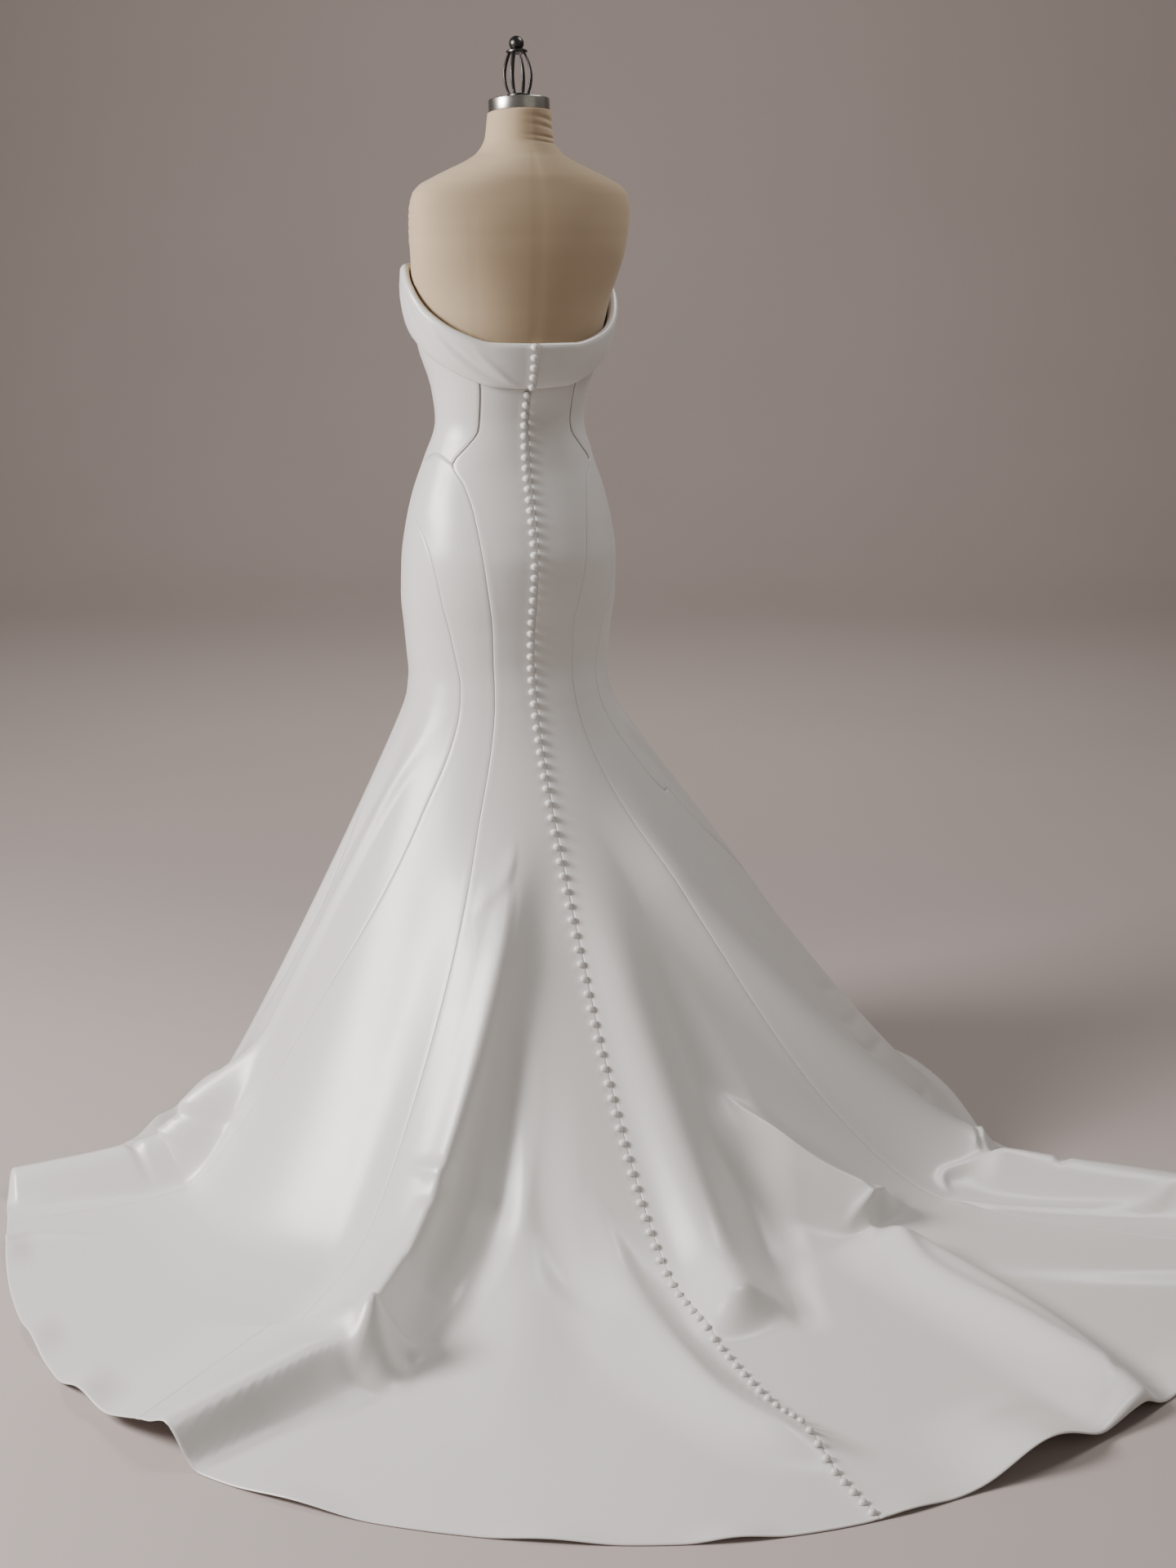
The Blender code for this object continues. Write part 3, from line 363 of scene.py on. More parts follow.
CREASES = (
    Crease("roll_undercut", 0.0, (
        Station(0.38, 18.0, 0.030, 0.030, 0.000),
        Station(0.48, 20.8, 0.045, 0.035, -0.012),
        Station(0.56, 23.0, 0.045, 0.035, -0.018),
        Station(0.64, 26.0, 0.045, 0.035, -0.014),
        Station(0.76, 28.6, 0.045, 0.035, -0.006),
        Station(0.88, 31.0, 0.040, 0.030, 0.000),
    )),
    Crease("roll_crest", 0.5, (
        Station(0.26, 22.0, 0.014, 0.020, 0.000),
        Station(0.31, 25.0, 0.020, 0.025, 0.006),
        Station(0.41, 29.0, 0.030, 0.030, 0.008),
        Station(0.52, 32.0, 0.030, 0.030, 0.009),
        Station(0.63, 34.0, 0.030, 0.030, 0.009),
        Station(0.78, 34.0, 0.030, 0.030, 0.010),
        Station(0.875, 33.5, 0.022, 0.025, 0.012),
        Station(0.91, 33.3, 0.010, 0.010, 0.000),
    )),
    Crease("corner_fill", 0.0, (
        Station(0.79, 31.5, 0.030, 0.030, 0.000),
        Station(0.86, 32.6, 0.050, 0.035, 0.016),
        Station(0.91, 34.0, 0.055, 0.035, 0.019),
        Station(0.96, 36.0, 0.050, 0.035, 0.010),
        Station(1.02, 38.0, 0.030, 0.030, 0.000),
    )),
    Crease("foot_crest", 0.55, (
        Station(0.88, 33.5, 0.020, 0.020, 0.000),
        Station(0.91, 36.0, 0.024, 0.026, 0.009),
        Station(0.98, 38.5, 0.028, 0.030, 0.008),
        Station(1.06, 41.0, 0.028, 0.030, 0.008),
        Station(1.14, 43.0, 0.028, 0.030, 0.008),
        Station(1.20, 43.5, 0.028, 0.030, 0.004),
    )),
    Crease("pointed_crease", 0.6, (
        Station(0.235, 19.0, 0.008, 0.012, 0.000),
        Station(0.262, 23.0, 0.010, 0.020, 0.004),
        Station(0.280, 28.0, 0.010, 0.022, 0.004),
        Station(0.295, 33.0, 0.010, 0.016, 0.000),
    )),
    Crease("roll_pucker", 0.4, (
        Station(0.515, 37.0, 0.014, 0.010, 0.000),
        Station(0.522, 34.5, 0.018, 0.012, 0.006),
        Station(0.525, 31.5, 0.018, 0.012, 0.007),
        Station(0.520, 29.0, 0.014, 0.010, 0.000),
    )),
    Crease("roll_pucker_dip", 0.0, (
        Station(0.545, 35.5, 0.016, 0.016, 0.000),
        Station(0.550, 32.5, 0.018, 0.018, -0.005),
        Station(0.545, 30.0, 0.016, 0.016, 0.000),
    )),
    Crease("gully", 0.0, (
        Station(0.42, 14.0, 0.050, 0.030, 0.000),
        Station(0.52, 15.5, 0.060, 0.035, -0.006),
        Station(0.60, 14.5, 0.060, 0.040, -0.008),
        Station(0.68, 11.5, 0.050, 0.040, -0.006),
        Station(0.76, 9.0, 0.040, 0.030, 0.000),
    )),
    Crease("middle_swell", 0.0, (
        Station(0.58, 19.0, 0.050, 0.050, 0.000),
        Station(0.70, 19.0, 0.090, 0.080, 0.010),
        Station(0.88, 20.0, 0.100, 0.100, 0.006),
        Station(1.05, 20.0, 0.090, 0.090, 0.000),
    )),
    Crease("ripple_crest", 0.35, (
        Station(0.54, 8.5, 0.020, 0.025, 0.000),
        Station(0.62, 6.2, 0.026, 0.040, 0.006),
        Station(0.76, 5.2, 0.026, 0.050, 0.007),
        Station(0.94, 4.6, 0.024, 0.050, 0.007),
        Station(1.08, 1.8, 0.020, 0.040, 0.005),
        Station(1.17, -0.4, 0.020, 0.030, 0.000),
    )),
    Crease("flute_valley", 0.0, (
        Station(0.34, -20.0, 0.040, 0.040, 0.000),
        Station(0.49, -20.0, 0.060, 0.060, -0.010),
        Station(0.58, -17.5, 0.060, 0.055, -0.013),
        Station(0.67, -14.8, 0.060, 0.055, -0.013),
        Station(0.78, -11.0, 0.040, 0.035, -0.010),
        Station(0.86, -8.5, 0.040, 0.030, 0.000),
    )),
    Crease("step_crest", 0.7, (
        Station(0.485, -21.0, 0.012, 0.016, 0.000),
        Station(0.53, -23.0, 0.020, 0.030, 0.006),
        Station(0.60, -26.0, 0.022, 0.030, 0.009),
        Station(0.67, -29.0, 0.022, 0.030, 0.012),
        Station(0.715, -28.5, 0.022, 0.030, 0.006),
        Station(0.78, -25.5, 0.022, 0.036, 0.009),
        Station(0.85, -23.4, 0.022, 0.036, 0.010),
        Station(0.93, -22.6, 0.022, 0.040, 0.010),
        Station(1.01, -22.0, 0.022, 0.040, 0.011),
        Station(1.11, -21.0, 0.022, 0.040, 0.011),
        Station(1.20, -20.2, 0.022, 0.036, 0.008),
        Station(1.235, -19.0, 0.016, 0.020, 0.000),
    )),
    Crease("step_notch", 0.3, (
        Station(0.690, -25.5, 0.010, 0.012, 0.000),
        Station(0.684, -28.0, 0.012, 0.014, 0.006),
        Station(0.688, -31.0, 0.012, 0.014, 0.005),
        Station(0.712, -33.0, 0.010, 0.012, 0.000),
    )),
    Crease("step_end", 0.4, (
        Station(1.18, -22.5, 0.012, 0.014, 0.000),
        Station(1.205, -20.5, 0.016, 0.020, -0.004),
        Station(1.235, -18.0, 0.016, 0.020, -0.003),
        Station(1.25, -16.0, 0.012, 0.014, 0.000),
    )),
    Crease("edge_pucker_1", 0.3, (
        Station(0.500, -62.0, 0.012, 0.012, 0.000),
        Station(0.520, -66.0, 0.014, 0.014, -0.005),
        Station(0.540, -72.0, 0.014, 0.014, -0.006),
        Station(0.560, -78.0, 0.012, 0.012, 0.000),
    )),
    Crease("edge_pucker_2", 0.3, (
        Station(0.535, -58.0, 0.012, 0.012, 0.000),
        Station(0.560, -64.0, 0.014, 0.014, -0.006),
        Station(0.585, -72.0, 0.014, 0.014, -0.006),
        Station(0.600, -78.0, 0.012, 0.012, 0.000),
    )),
    Crease("edge_pucker_3", 0.3, (
        Station(0.570, -56.0, 0.012, 0.012, 0.000),
        Station(0.595, -62.0, 0.016, 0.016, -0.007),
        Station(0.620, -70.0, 0.016, 0.016, -0.007),
        Station(0.640, -76.0, 0.012, 0.012, 0.000),
    )),
    Crease("edge_pucker_4", 0.3, (
        Station(0.640, -55.0, 0.012, 0.012, 0.000),
        Station(0.665, -60.0, 0.016, 0.016, -0.006),
        Station(0.690, -66.0, 0.016, 0.016, -0.006),
        Station(0.710, -72.0, 0.012, 0.012, 0.000),
    )),
    Crease("edge_crease_1", 0.6, (
        Station(0.735, -56.5, 0.010, 0.010, 0.000),
        Station(0.757, -54.0, 0.013, 0.013, -0.006),
        Station(0.775, -52.2, 0.012, 0.012, -0.005),
        Station(0.792, -50.4, 0.010, 0.010, 0.000),
    )),
    Crease("edge_crease_2", 0.6, (
        Station(0.775, -56.5, 0.010, 0.010, 0.000),
        Station(0.792, -54.6, 0.012, 0.012, -0.006),
        Station(0.806, -53.0, 0.012, 0.012, -0.006),
        Station(0.820, -51.0, 0.010, 0.010, 0.000),
    )),
    Crease("edge_crease_ridge", 0.5, (
        Station(0.760, -56.0, 0.010, 0.010, 0.000),
        Station(0.776, -54.3, 0.012, 0.012, 0.003),
        Station(0.796, -51.6, 0.010, 0.010, 0.000),
    )),
    Crease("loop_outline", 0.5, (
        Station(0.760, -43.5, 0.010, 0.010, 0.000),
        Station(0.735, -46.0, 0.014, 0.016, 0.006),
        Station(0.760, -48.4, 0.014, 0.018, 0.007),
        Station(0.830, -50.5, 0.014, 0.020, 0.006),
        Station(0.920, -51.5, 0.014, 0.022, 0.008),
        Station(1.000, -52.0, 0.014, 0.022, 0.009),
        Station(1.080, -52.6, 0.014, 0.022, 0.009),
        Station(1.120, -53.0, 0.012, 0.018, 0.000),
    )),
    Crease("loop_low_edge", 0.5, (
        Station(0.750, -41.6, 0.010, 0.010, 0.000),
        Station(0.800, -43.0, 0.026, 0.014, 0.005),
        Station(0.867, -44.8, 0.030, 0.014, 0.007),
        Station(0.930, -46.2, 0.030, 0.014, 0.008),
        Station(0.996, -47.4, 0.030, 0.014, 0.008),
        Station(1.060, -48.8, 0.026, 0.014, 0.007),
        Station(1.095, -51.0, 0.014, 0.012, 0.000),
    )),
    Crease("loop_pinch", 0.4, (
        Station(0.900, -50.0, 0.010, 0.010, 0.000),
        Station(0.915, -51.6, 0.014, 0.014, -0.009),
        Station(0.930, -53.5, 0.012, 0.012, -0.006),
        Station(0.940, -55.0, 0.010, 0.010, 0.000),
    )),
    Crease("right_streak", 0.2, (
        Station(0.86, -29.0, 0.020, 0.020, 0.000),
        Station(0.94, -32.5, 0.030, 0.030, 0.007),
        Station(1.03, -35.2, 0.036, 0.036, 0.013),
        Station(1.12, -38.0, 0.036, 0.036, 0.015),
        Station(1.19, -40.0, 0.036, 0.036, 0.015),
    )),
    Crease("left_edge_pinch_1", 0.5, (
        Station(0.500, 82.0, 0.010, 0.010, 0.000),
        Station(0.515, 87.0, 0.012, 0.014, -0.008),
        Station(0.528, 92.0, 0.012, 0.014, -0.010),
        Station(0.540, 97.0, 0.010, 0.010, 0.000),
    )),
    Crease("left_edge_bulge_1", 0.3, (
        Station(0.530, 83.0, 0.014, 0.014, 0.000),
        Station(0.548, 88.0, 0.018, 0.018, 0.007),
        Station(0.560, 94.0, 0.018, 0.018, 0.007),
        Station(0.570, 98.0, 0.014, 0.014, 0.000),
    )),
    Crease("left_edge_pinch_2", 0.4, (
        Station(0.625, 86.0, 0.010, 0.010, 0.000),
        Station(0.640, 90.0, 0.016, 0.016, -0.008),
        Station(0.655, 95.0, 0.016, 0.016, -0.008),
        Station(0.660, 99.0, 0.010, 0.010, 0.000),
    )),
    Crease("left_roll_foot_line", 0.3, (
        Station(0.44, 84.0, 0.016, 0.030, 0.000),
        Station(0.52, 83.5, 0.020, 0.030, -0.006),
        Station(0.64, 85.0, 0.020, 0.030, -0.007),
        Station(0.76, 86.5, 0.018, 0.030, -0.005),
        Station(0.85, 87.0, 0.014, 0.020, 0.000),
    )),
    Crease("left_hem_crease", 0.7, (
        Station(0.890, 80.5, 0.012, 0.010, 0.008),
        Station(0.855, 80.8, 0.016, 0.008, 0.008),
        Station(0.800, 79.0, 0.016, 0.008, 0.006),
        Station(0.725, 74.5, 0.010, 0.008, 0.000),
    )),
    Crease("left_side_valley", 0.0, (
        Station(0.165, 66.0, 0.012, 0.012, 0.000),
        Station(0.200, 82.0, 0.020, 0.020, -0.006),
        Station(0.260, 94.0, 0.030, 0.030, -0.014),
        Station(0.340, 99.0, 0.035, 0.035, -0.014),
        Station(0.430, 101.0, 0.030, 0.030, 0.000),
    )),
    Crease("left_gore_ridge", 0.4, (
        Station(0.158, 50.0, 0.008, 0.010, 0.000),
        Station(0.180, 62.0, 0.014, 0.018, 0.005),
        Station(0.230, 75.0, 0.020, 0.026, 0.009),
        Station(0.330, 84.0, 0.026, 0.030, 0.010),
        Station(0.450, 88.0, 0.026, 0.030, 0.006),
        Station(0.520, 89.0, 0.020, 0.026, 0.000),
    )),
    Crease("right_gore_ridge", 0.4, (
        Station(0.156, -47.0, 0.010, 0.008, 0.000),
        Station(0.180, -58.0, 0.018, 0.014, 0.005),
        Station(0.230, -66.0, 0.022, 0.018, 0.008),
        Station(0.330, -72.0, 0.026, 0.022, 0.008),
        Station(0.450, -76.0, 0.026, 0.022, 0.000),
    )),
    Crease("right_side_valley", 0.0, (
        Station(0.165, -70.0, 0.012, 0.012, 0.000),
        Station(0.205, -86.0, 0.020, 0.020, -0.006),
        Station(0.270, -96.0, 0.030, 0.030, -0.012),
        Station(0.350, -100.0, 0.035, 0.035, -0.012),
        Station(0.430, -101.0, 0.030, 0.030, 0.000),
    )),
    Crease("front_trough_left", 0.0, (
        Station(0.20, 152.0, 0.030, 0.030, 0.000),
        Station(0.32, 153.0, 0.050, 0.050, -0.012),
        Station(0.46, 154.0, 0.060, 0.060, -0.010),
    )),
    Crease("front_trough_right", 0.0, (
        Station(0.20, -150.0, 0.030, 0.030, 0.000),
        Station(0.32, -150.0, 0.050, 0.050, -0.012),
        Station(0.47, -151.0, 0.060, 0.060, -0.010),
    )),
)


def smoothstep(t: float) -> float:
    """Eases from 0 to 1 as t goes from 0 to 1."""
    t = min(1.0, max(0.0, t))
    return t * t * (3 - 2 * t)


def bump(distance: float, spread: float) -> float:
    """A soft hump of height 1 that has died away at a few spreads."""
    return math.exp(-((distance / spread) ** 2))


def wrap(angle: float) -> float:
    """The same angle between -180 and 180."""
    return (angle + 180.0) % 360.0 - 180.0


def heading(angle: float) -> Vector:
    """Level direction out from the stand at an angle."""
    return Vector((math.sin(math.radians(angle)), math.cos(math.radians(angle)), 0.0))


class SmoothCurve:
    """A smooth curve through points, without overshoot where it turns."""

    def __init__(self, xs: Sequence[float], ys: Sequence[float]) -> None:
        """Works out the slope at each point.

        Args:
            xs: Rising positions.
            ys: Values at them.
        """
        self.xs = list(xs)
        self.ys = list(ys)
        runs = [(self.ys[k + 1] - self.ys[k]) / (self.xs[k + 1] - self.xs[k]) for k in range(len(xs) - 1)]
        self.slopes = [runs[0]]
        for before, after in zip(runs, runs[1:]):
            turning = before * after <= 0
            self.slopes.append(0.0 if turning else 2.0 * before * after / (before + after))
        self.slopes.append(runs[-1])

    def at(self, x: float) -> float:
        """Value of the curve at x, held at its ends."""
        if x <= self.xs[0]:
            return self.ys[0]
        if x >= self.xs[-1]:
            return self.ys[-1]
        i = bisect_right(self.xs, x) - 1
        span = self.xs[i + 1] - self.xs[i]
        t = (x - self.xs[i]) / span
        left = (1 + 2 * t) * self.ys[i] + t * span * self.slopes[i]
        right = (3 - 2 * t) * self.ys[i + 1] - (1 - t) * span * self.slopes[i + 1]
        return (1 - t) ** 2 * left + t * t * right


def curves(table: Sequence[tuple]) -> list[SmoothCurve]:
    """One curve for each column of a table after its first."""
    columns = list(zip(*table))
    return [SmoothCurve(columns[0], column) for column in columns[1:]]


class CreaseLine:
    """The line of a crease on the plan of the skirt, cut into short straight steps."""

    steps_a_span = 6

    def __init__(self, crease: Crease) -> None:
        """Works out the steps through the crease's stations."""
        table = [(float(k), *station) for k, station in enumerate(crease.stations)]
        along = curves(table)
        self.crisp = crease.crisp
        count = self.steps_a_span * (len(table) - 1)
        rows = [[curve.at(k / self.steps_a_span) for curve in along] for k in range(count + 1)]
        places = [heading(row[1]) * row[0] for row in rows]
        self.steps = [
            (a.x, a.y, b.x - a.x, b.y - a.y, row[2:], ahead[2:])
            for a, b, row, ahead in zip(places, places[1:], rows, rows[1:])
        ]
        reach = max(max(row[2], row[3]) for row in rows)
        self.low = (min(p.x for p in places) - reach, min(p.y for p in places) - reach)
        self.high = (max(p.x for p in places) + reach, max(p.y for p in places) + reach)

    def lift(self, x: float, y: float) -> float:
        """How far the crease raises the cloth at a place, downward if negative."""
        if not (self.low[0] < x < self.high[0] and self.low[1] < y < self.high[1]):
            return 0.0
        nearest = math.inf
        found = None
        for step in self.steps:
            ax, ay, dx, dy, _, _ = step
            share = ((x - ax) * dx + (y - ay) * dy) / max(dx * dx + dy * dy, 1e-12)
            share = min(1.0, max(0.0, share))
            ex, ey = x - ax - dx * share, y - ay - dy * share
            gap = ex * ex + ey * ey
            if gap < nearest:
                nearest = gap
                found = (step, share, dx * ey - dy * ex)
        (_, _, _, _, here, ahead), share, turn = found
        left, right, height = (a + (b - a) * share for a, b in zip(here, ahead))
        away = math.sqrt(nearest) / (left if turn > 0 else right)
        if away >= 1.0:
            return 0.0
        soft = 0.5 + 0.5 * math.cos(math.pi * away)
        sharp = (1.0 - away) ** 2 * (1.0 + 0.5 * away)
        return height * (soft + (sharp - soft) * self.crisp)


class GownShape:
    """The outer face of the gown as a function of angle and level."""

    squareness = 2.15

    def __init__(self) -> None:
        """Prepares the curves through the tables."""
        self.body = curves(GOWN)
        self.sweep = curves(SWEEPS)
        self.band_top, self.band_low = curves(BAND)
        self.creases = [CreaseLine(crease) for crease in CREASES]

    def section(self, table: list[SmoothCurve], height: float, angle: float) -> Vector:
        """Point of a body slice at an angle: a rounded egg shape."""
        half_width, back, front, widest = (curve.at(height) for curve in table)
        c, s = math.cos(math.radians(angle)), math.sin(math.radians(angle))
        power = 2.0 / self.squareness
        x = math.copysign(abs(s) ** power, s) * half_width - LEAN * (height - WAIST)
        depth = back - widest if c > 0 else front + widest
        y = math.copysign(abs(c) ** power, c) * depth + widest
        return Vector((x, y, height))

    def smooth_skirt(self, angle: float, share: float) -> Vector:
        """Point of the skirt without folds; share runs from 0 at the knee to 1 at the hem."""
        contact, hem, sag = (curve.at(wrap(angle)) for curve in self.sweep)
        start = self.section(self.body, KNEE, angle)
        start.z = 0.0
        reach = heading(angle) * hem - start
        point = start + reach * (share * share * (1 + KNEE_SOFTNESS) / (share + KNEE_SOFTNESS))
        down = share * (hem - start.length) / (contact - start.length)
        left_over = 1.0 - down
        fall = left_over**sag if left_over > 0 else left_over * FLOOR_RUN
        ease = FLOOR_EASE * (1.0001 - share**4)
        height = ease * math.log1p(math.exp(min(60.0, (KNEE - TOP_OF_FLAT_CLOTH) * fall / ease)))
        point.z = TOP_OF_FLAT_CLOTH + min(height, KNEE - TOP_OF_FLAT_CLOTH)
        return point

    def fold_offset(self, point: Vector) -> tuple[float, float]:
        """How far the folds lift a point of the smooth skirt, and how far they push it round."""
        radius = math.hypot(point.x, point.y)
        angle = math.degrees(math.atan2(point.x, point.y))
        lift = 0.0
        push = 0.0
        for fold in FOLDS:
            along = (radius - fold.radius_0) / (fold.radius_1 - fold.radius_0)
            if along < 0.0 or along > 1.0 + fold.fade_out:
                continue
            centre = fold.angle_0 + (fold.angle_1 - fold.angle_0) * along
            centre += fold.bow * 4 * along * (1 - along)
            across = math.radians(wrap(angle - centre)) * radius
            width = fold.width_0 + (fold.width_1 - fold.width_0) * along
            reach = width * (FOLD_REACH * fold.spread if across > 0 else FOLD_REACH)
            if abs(across) >= reach:
                continue
            profile = (0.5 + 0.5 * math.cos(math.pi * across / reach)) ** FOLD_SHARPNESS
            height = fold.height_0 + (fold.height_1 - fold.height_0) * along
            strength = smoothstep(along / fold.fade_in)
            strength *= 1.0 - smoothstep((along - 1.0) / fold.fade_out + 0.5)
            lift += (height * profile * strength) ** FOLD_MERGE
            push -= fold.lean * profile * profile * strength
        lift = lift ** (1 / FOLD_MERGE)
        lift += sum(crease.lift(point.x, point.y) for crease in self.creases)
        return lift, push

    def hem_lift(self, angle: float, share: float) -> float:
        """Height that the hem's waves add near the edge."""
        total = 0.0
        to_hem = (1.0 - share) * SKIRT_RUN
        for wave in HEM_LIFTS:
            turn = abs(wrap(angle - wave.angle)) / wave.half_width
            if turn < 1.0 and to_hem < wave.reach:
                round_it = 0.5 + 0.5 * math.cos(math.pi * turn)
                total += wave.lift * round_it * smoothstep(1.0 - to_hem / wave.reach)
        return total

    def point(self, angle: float, level: float) -> Vector:
        """Point of the gown's outer face, eased across the knee line."""
        window = KNEE_WINDOW * (1.0 - abs(level - KNEE) / KNEE_EASED)
        if window <= 0.0:
            return self.plain_point(angle, level)
        spots = [self.plain_point(angle, level + window * k) for k in (-1.0, -0.5, 0.0, 0.5, 1.0)]
        total = spots[0] + spots[4] + (spots[1] + spots[3]) * 2.0 + spots[2] * 3.0
        return total / 9.0

    def plain_point(self, angle: float, level: float) -> Vector:
        """Point of the gown's outer face as the tables give it."""
        if level >= KNEE:
            return self.section(self.body, level, angle)
        share = 1.0 - level / KNEE
        point = self.smooth_skirt(angle, share)
        lift, push = self.fold_offset(point)
        if lift or push:
            step = 0.01
            ahead = self.smooth_skirt(angle, min(1.0, share + step))
            behind = self.smooth_skirt(angle, max(0.0, share - step))
            side = Vector((math.cos(math.radians(angle)), -math.sin(math.radians(angle)), 0.0))
            normal = (ahead - behind).cross(side).normalized()
            if normal.z < 0:
                normal.negate()
            point += normal * lift + side * push
        point.z += self.hem_lift(angle, share)
        point.z = max(point.z, TOP_OF_FLAT_CLOTH)
        return point

    def normal(self, angle: float, level: float) -> Vector:
        """Outward direction of the gown's outer face."""
        turn = 0.4
        step = 0.004
        low = max(0.0, level - step)
        across = self.point(angle + turn, level) - self.point(angle - turn, level)
        down = self.point(angle, low) - self.point(angle, low + 2 * step)
        return across.cross(down).normalized()

    def rim_level(self, angle: float) -> float:
        """Where the bodice ends, inside the band's roll."""
        turn = wrap(angle)
        drop = RIGHT_DROP * bump(turn - RIGHT_DROP_ANGLE, RIGHT_DROP_SPREAD)
        return self.band_top.at(abs(turn)) - BAND_EDGE - drop


class Cloth(Enum):
    """The cloths, by the slot of the record that each takes its finish from."""

    SATIN = "ivory_satin"
    LINEN = "natural_linen"


class Metal(Enum):
    """The metals, by the slot of the record that each takes its finish from."""

    BRUSHED = "brushed_metal"
    DARK = "dark_iron"


class Signal:
    """A shader socket that numbers and other signals can be added to and multiplied by."""

    def __init__(self, graph: "Graph", socket: bpy.types.NodeSocket) -> None:
        """Keeps the socket and the graph that its maths is added to."""
        self.graph = graph
        self.socket = socket

    def _maths(self, operation: str, *values: "Signal | float") -> "Signal":
        """Adds a Math node and returns its result."""
        return self.graph.add("ShaderNodeMath", {"operation": operation}, dict(enumerate(values)))

    def __add__(self, other: "Signal | float") -> "Signal":
        """This plus the other."""
        return self._maths("ADD", self, other)

    def __sub__(self, other: "Signal | float") -> "Signal":
        """This less the other."""
        return self._maths("SUBTRACT", self, other)

    def __rsub__(self, other: "Signal | float") -> "Signal":
        """The other less this."""
        return self._maths("SUBTRACT", other, self)

    def __mul__(self, other: "Signal | float") -> "Signal":
        """This times the other."""
        return self._maths("MULTIPLY", self, other)

    __radd__ = __add__
    __rmul__ = __mul__


class Graph:
    """The node tree of one material."""

    def __init__(self, name: str) -> None:
        """Starts a material with a Principled shader."""
        self.material = bpy.data.materials.new(name)
        self.material.use_nodes = True
        self.tree = self.material.node_tree
        self.shader = self.tree.nodes["Principled BSDF"]

    def add(self, kind: str, settings: dict, values: dict, output: int | str = 0) -> Signal:
        """Adds a node.

        Args:
            kind: The node's type.
            settings: Its own settings.
            values: Its sockets by name or number, as numbers, colours or signals.
            output: The socket that is returned.

        Returns:
            The output socket as a signal.
        """
        node = self.tree.nodes.new(kind)
        for key, value in settings.items():
            setattr(node, key, value)
        for key, value in values.items():
            if isinstance(value, Signal):
                self.tree.links.new(value.socket, node.inputs[key])
            else:
                node.inputs[key].default_value = value
        return Signal(self, node.outputs[output])

    def mix(self, share: "Signal | float", first: "Signal | tuple", second: "Signal | tuple") -> Signal:
        """Blends two colours."""
        settings = {"data_type": "RGBA"}
        values = {0: share, 6: first, 7: second}
        return self.add("ShaderNodeMix", settings, values, 2)

    def set(self, constants: dict[str, float]) -> None:
        """Sets the shader's own sockets by name."""
        for name, value in constants.items():
            self.shader.inputs[name].default_value = value

    def feed(self, socket: str, signal: Signal) -> None:
        """Links a signal to one of the shader's sockets."""
        self.tree.links.new(signal.socket, self.shader.inputs[socket])

    def relief(self, height: Signal, strength: float, distance: float) -> None:
        """Feeds a height to the shader's normal."""
        values = {"Strength": strength, "Distance": distance, "Height": height}
        self.feed("Normal", self.add("ShaderNodeBump", {}, values, "Normal"))


@dataclass(frozen=True)
class SatinFinish:
    """Heavy ivory satin: fine twill, a soft sheen and faint slubs."""

    colour: tuple[float, float, float, float] = (0.755, 0.73, 0.705, 1.0)
    shade: tuple[float, float, float, float] = (0.71, 0.685, 0.655, 1.0)
    roughness: float = 0.32
    thread: float = 0.0007

    def build(self) -> bpy.types.Material:
        """Makes the material; its UV map is in metres."""
        graph = Graph(Cloth.SATIN.value)
        where = graph.add("ShaderNodeUVMap", {"uv_map": "cut"}, {}, "UV")
        twill = {"Vector": where, "Scale": 1.0 / self.thread, "Distortion": 0.6, "Detail": 1.0}
        weave = graph.add("ShaderNodeTexWave", {"bands_direction": "DIAGONAL"}, twill, "Fac")
        slub_place = graph.add("ShaderNodeMapping", {}, {"Vector": where, "Scale": (60.0, 900.0, 1.0)})
        slub = graph.add("ShaderNodeTexNoise", {}, {"Vector": slub_place, "Scale": 1.0, "Detail": 3.0}, "Fac")
        cloud_values = {"Vector": where, "Scale": 9.0, "Detail": 4.0, "Roughness": 0.6}
        cloud = graph.add("ShaderNodeTexNoise", {}, cloud_values, "Fac")
        graph.feed("Base Color", graph.mix(cloud * 0.5 + slub * 0.25, self.colour, self.shade))
        graph.feed("Roughness", self.roughness + (cloud - 0.5) * 0.10 + (slub - 0.5) * 0.06)
        graph.set({"Sheen Weight": 0.10, "Sheen Roughness": 0.35, "IOR": 1.75})
        graph.relief(weave * 0.35 + slub * 0.8 + cloud * 1.4, 0.10, 0.0012)
        return graph.material


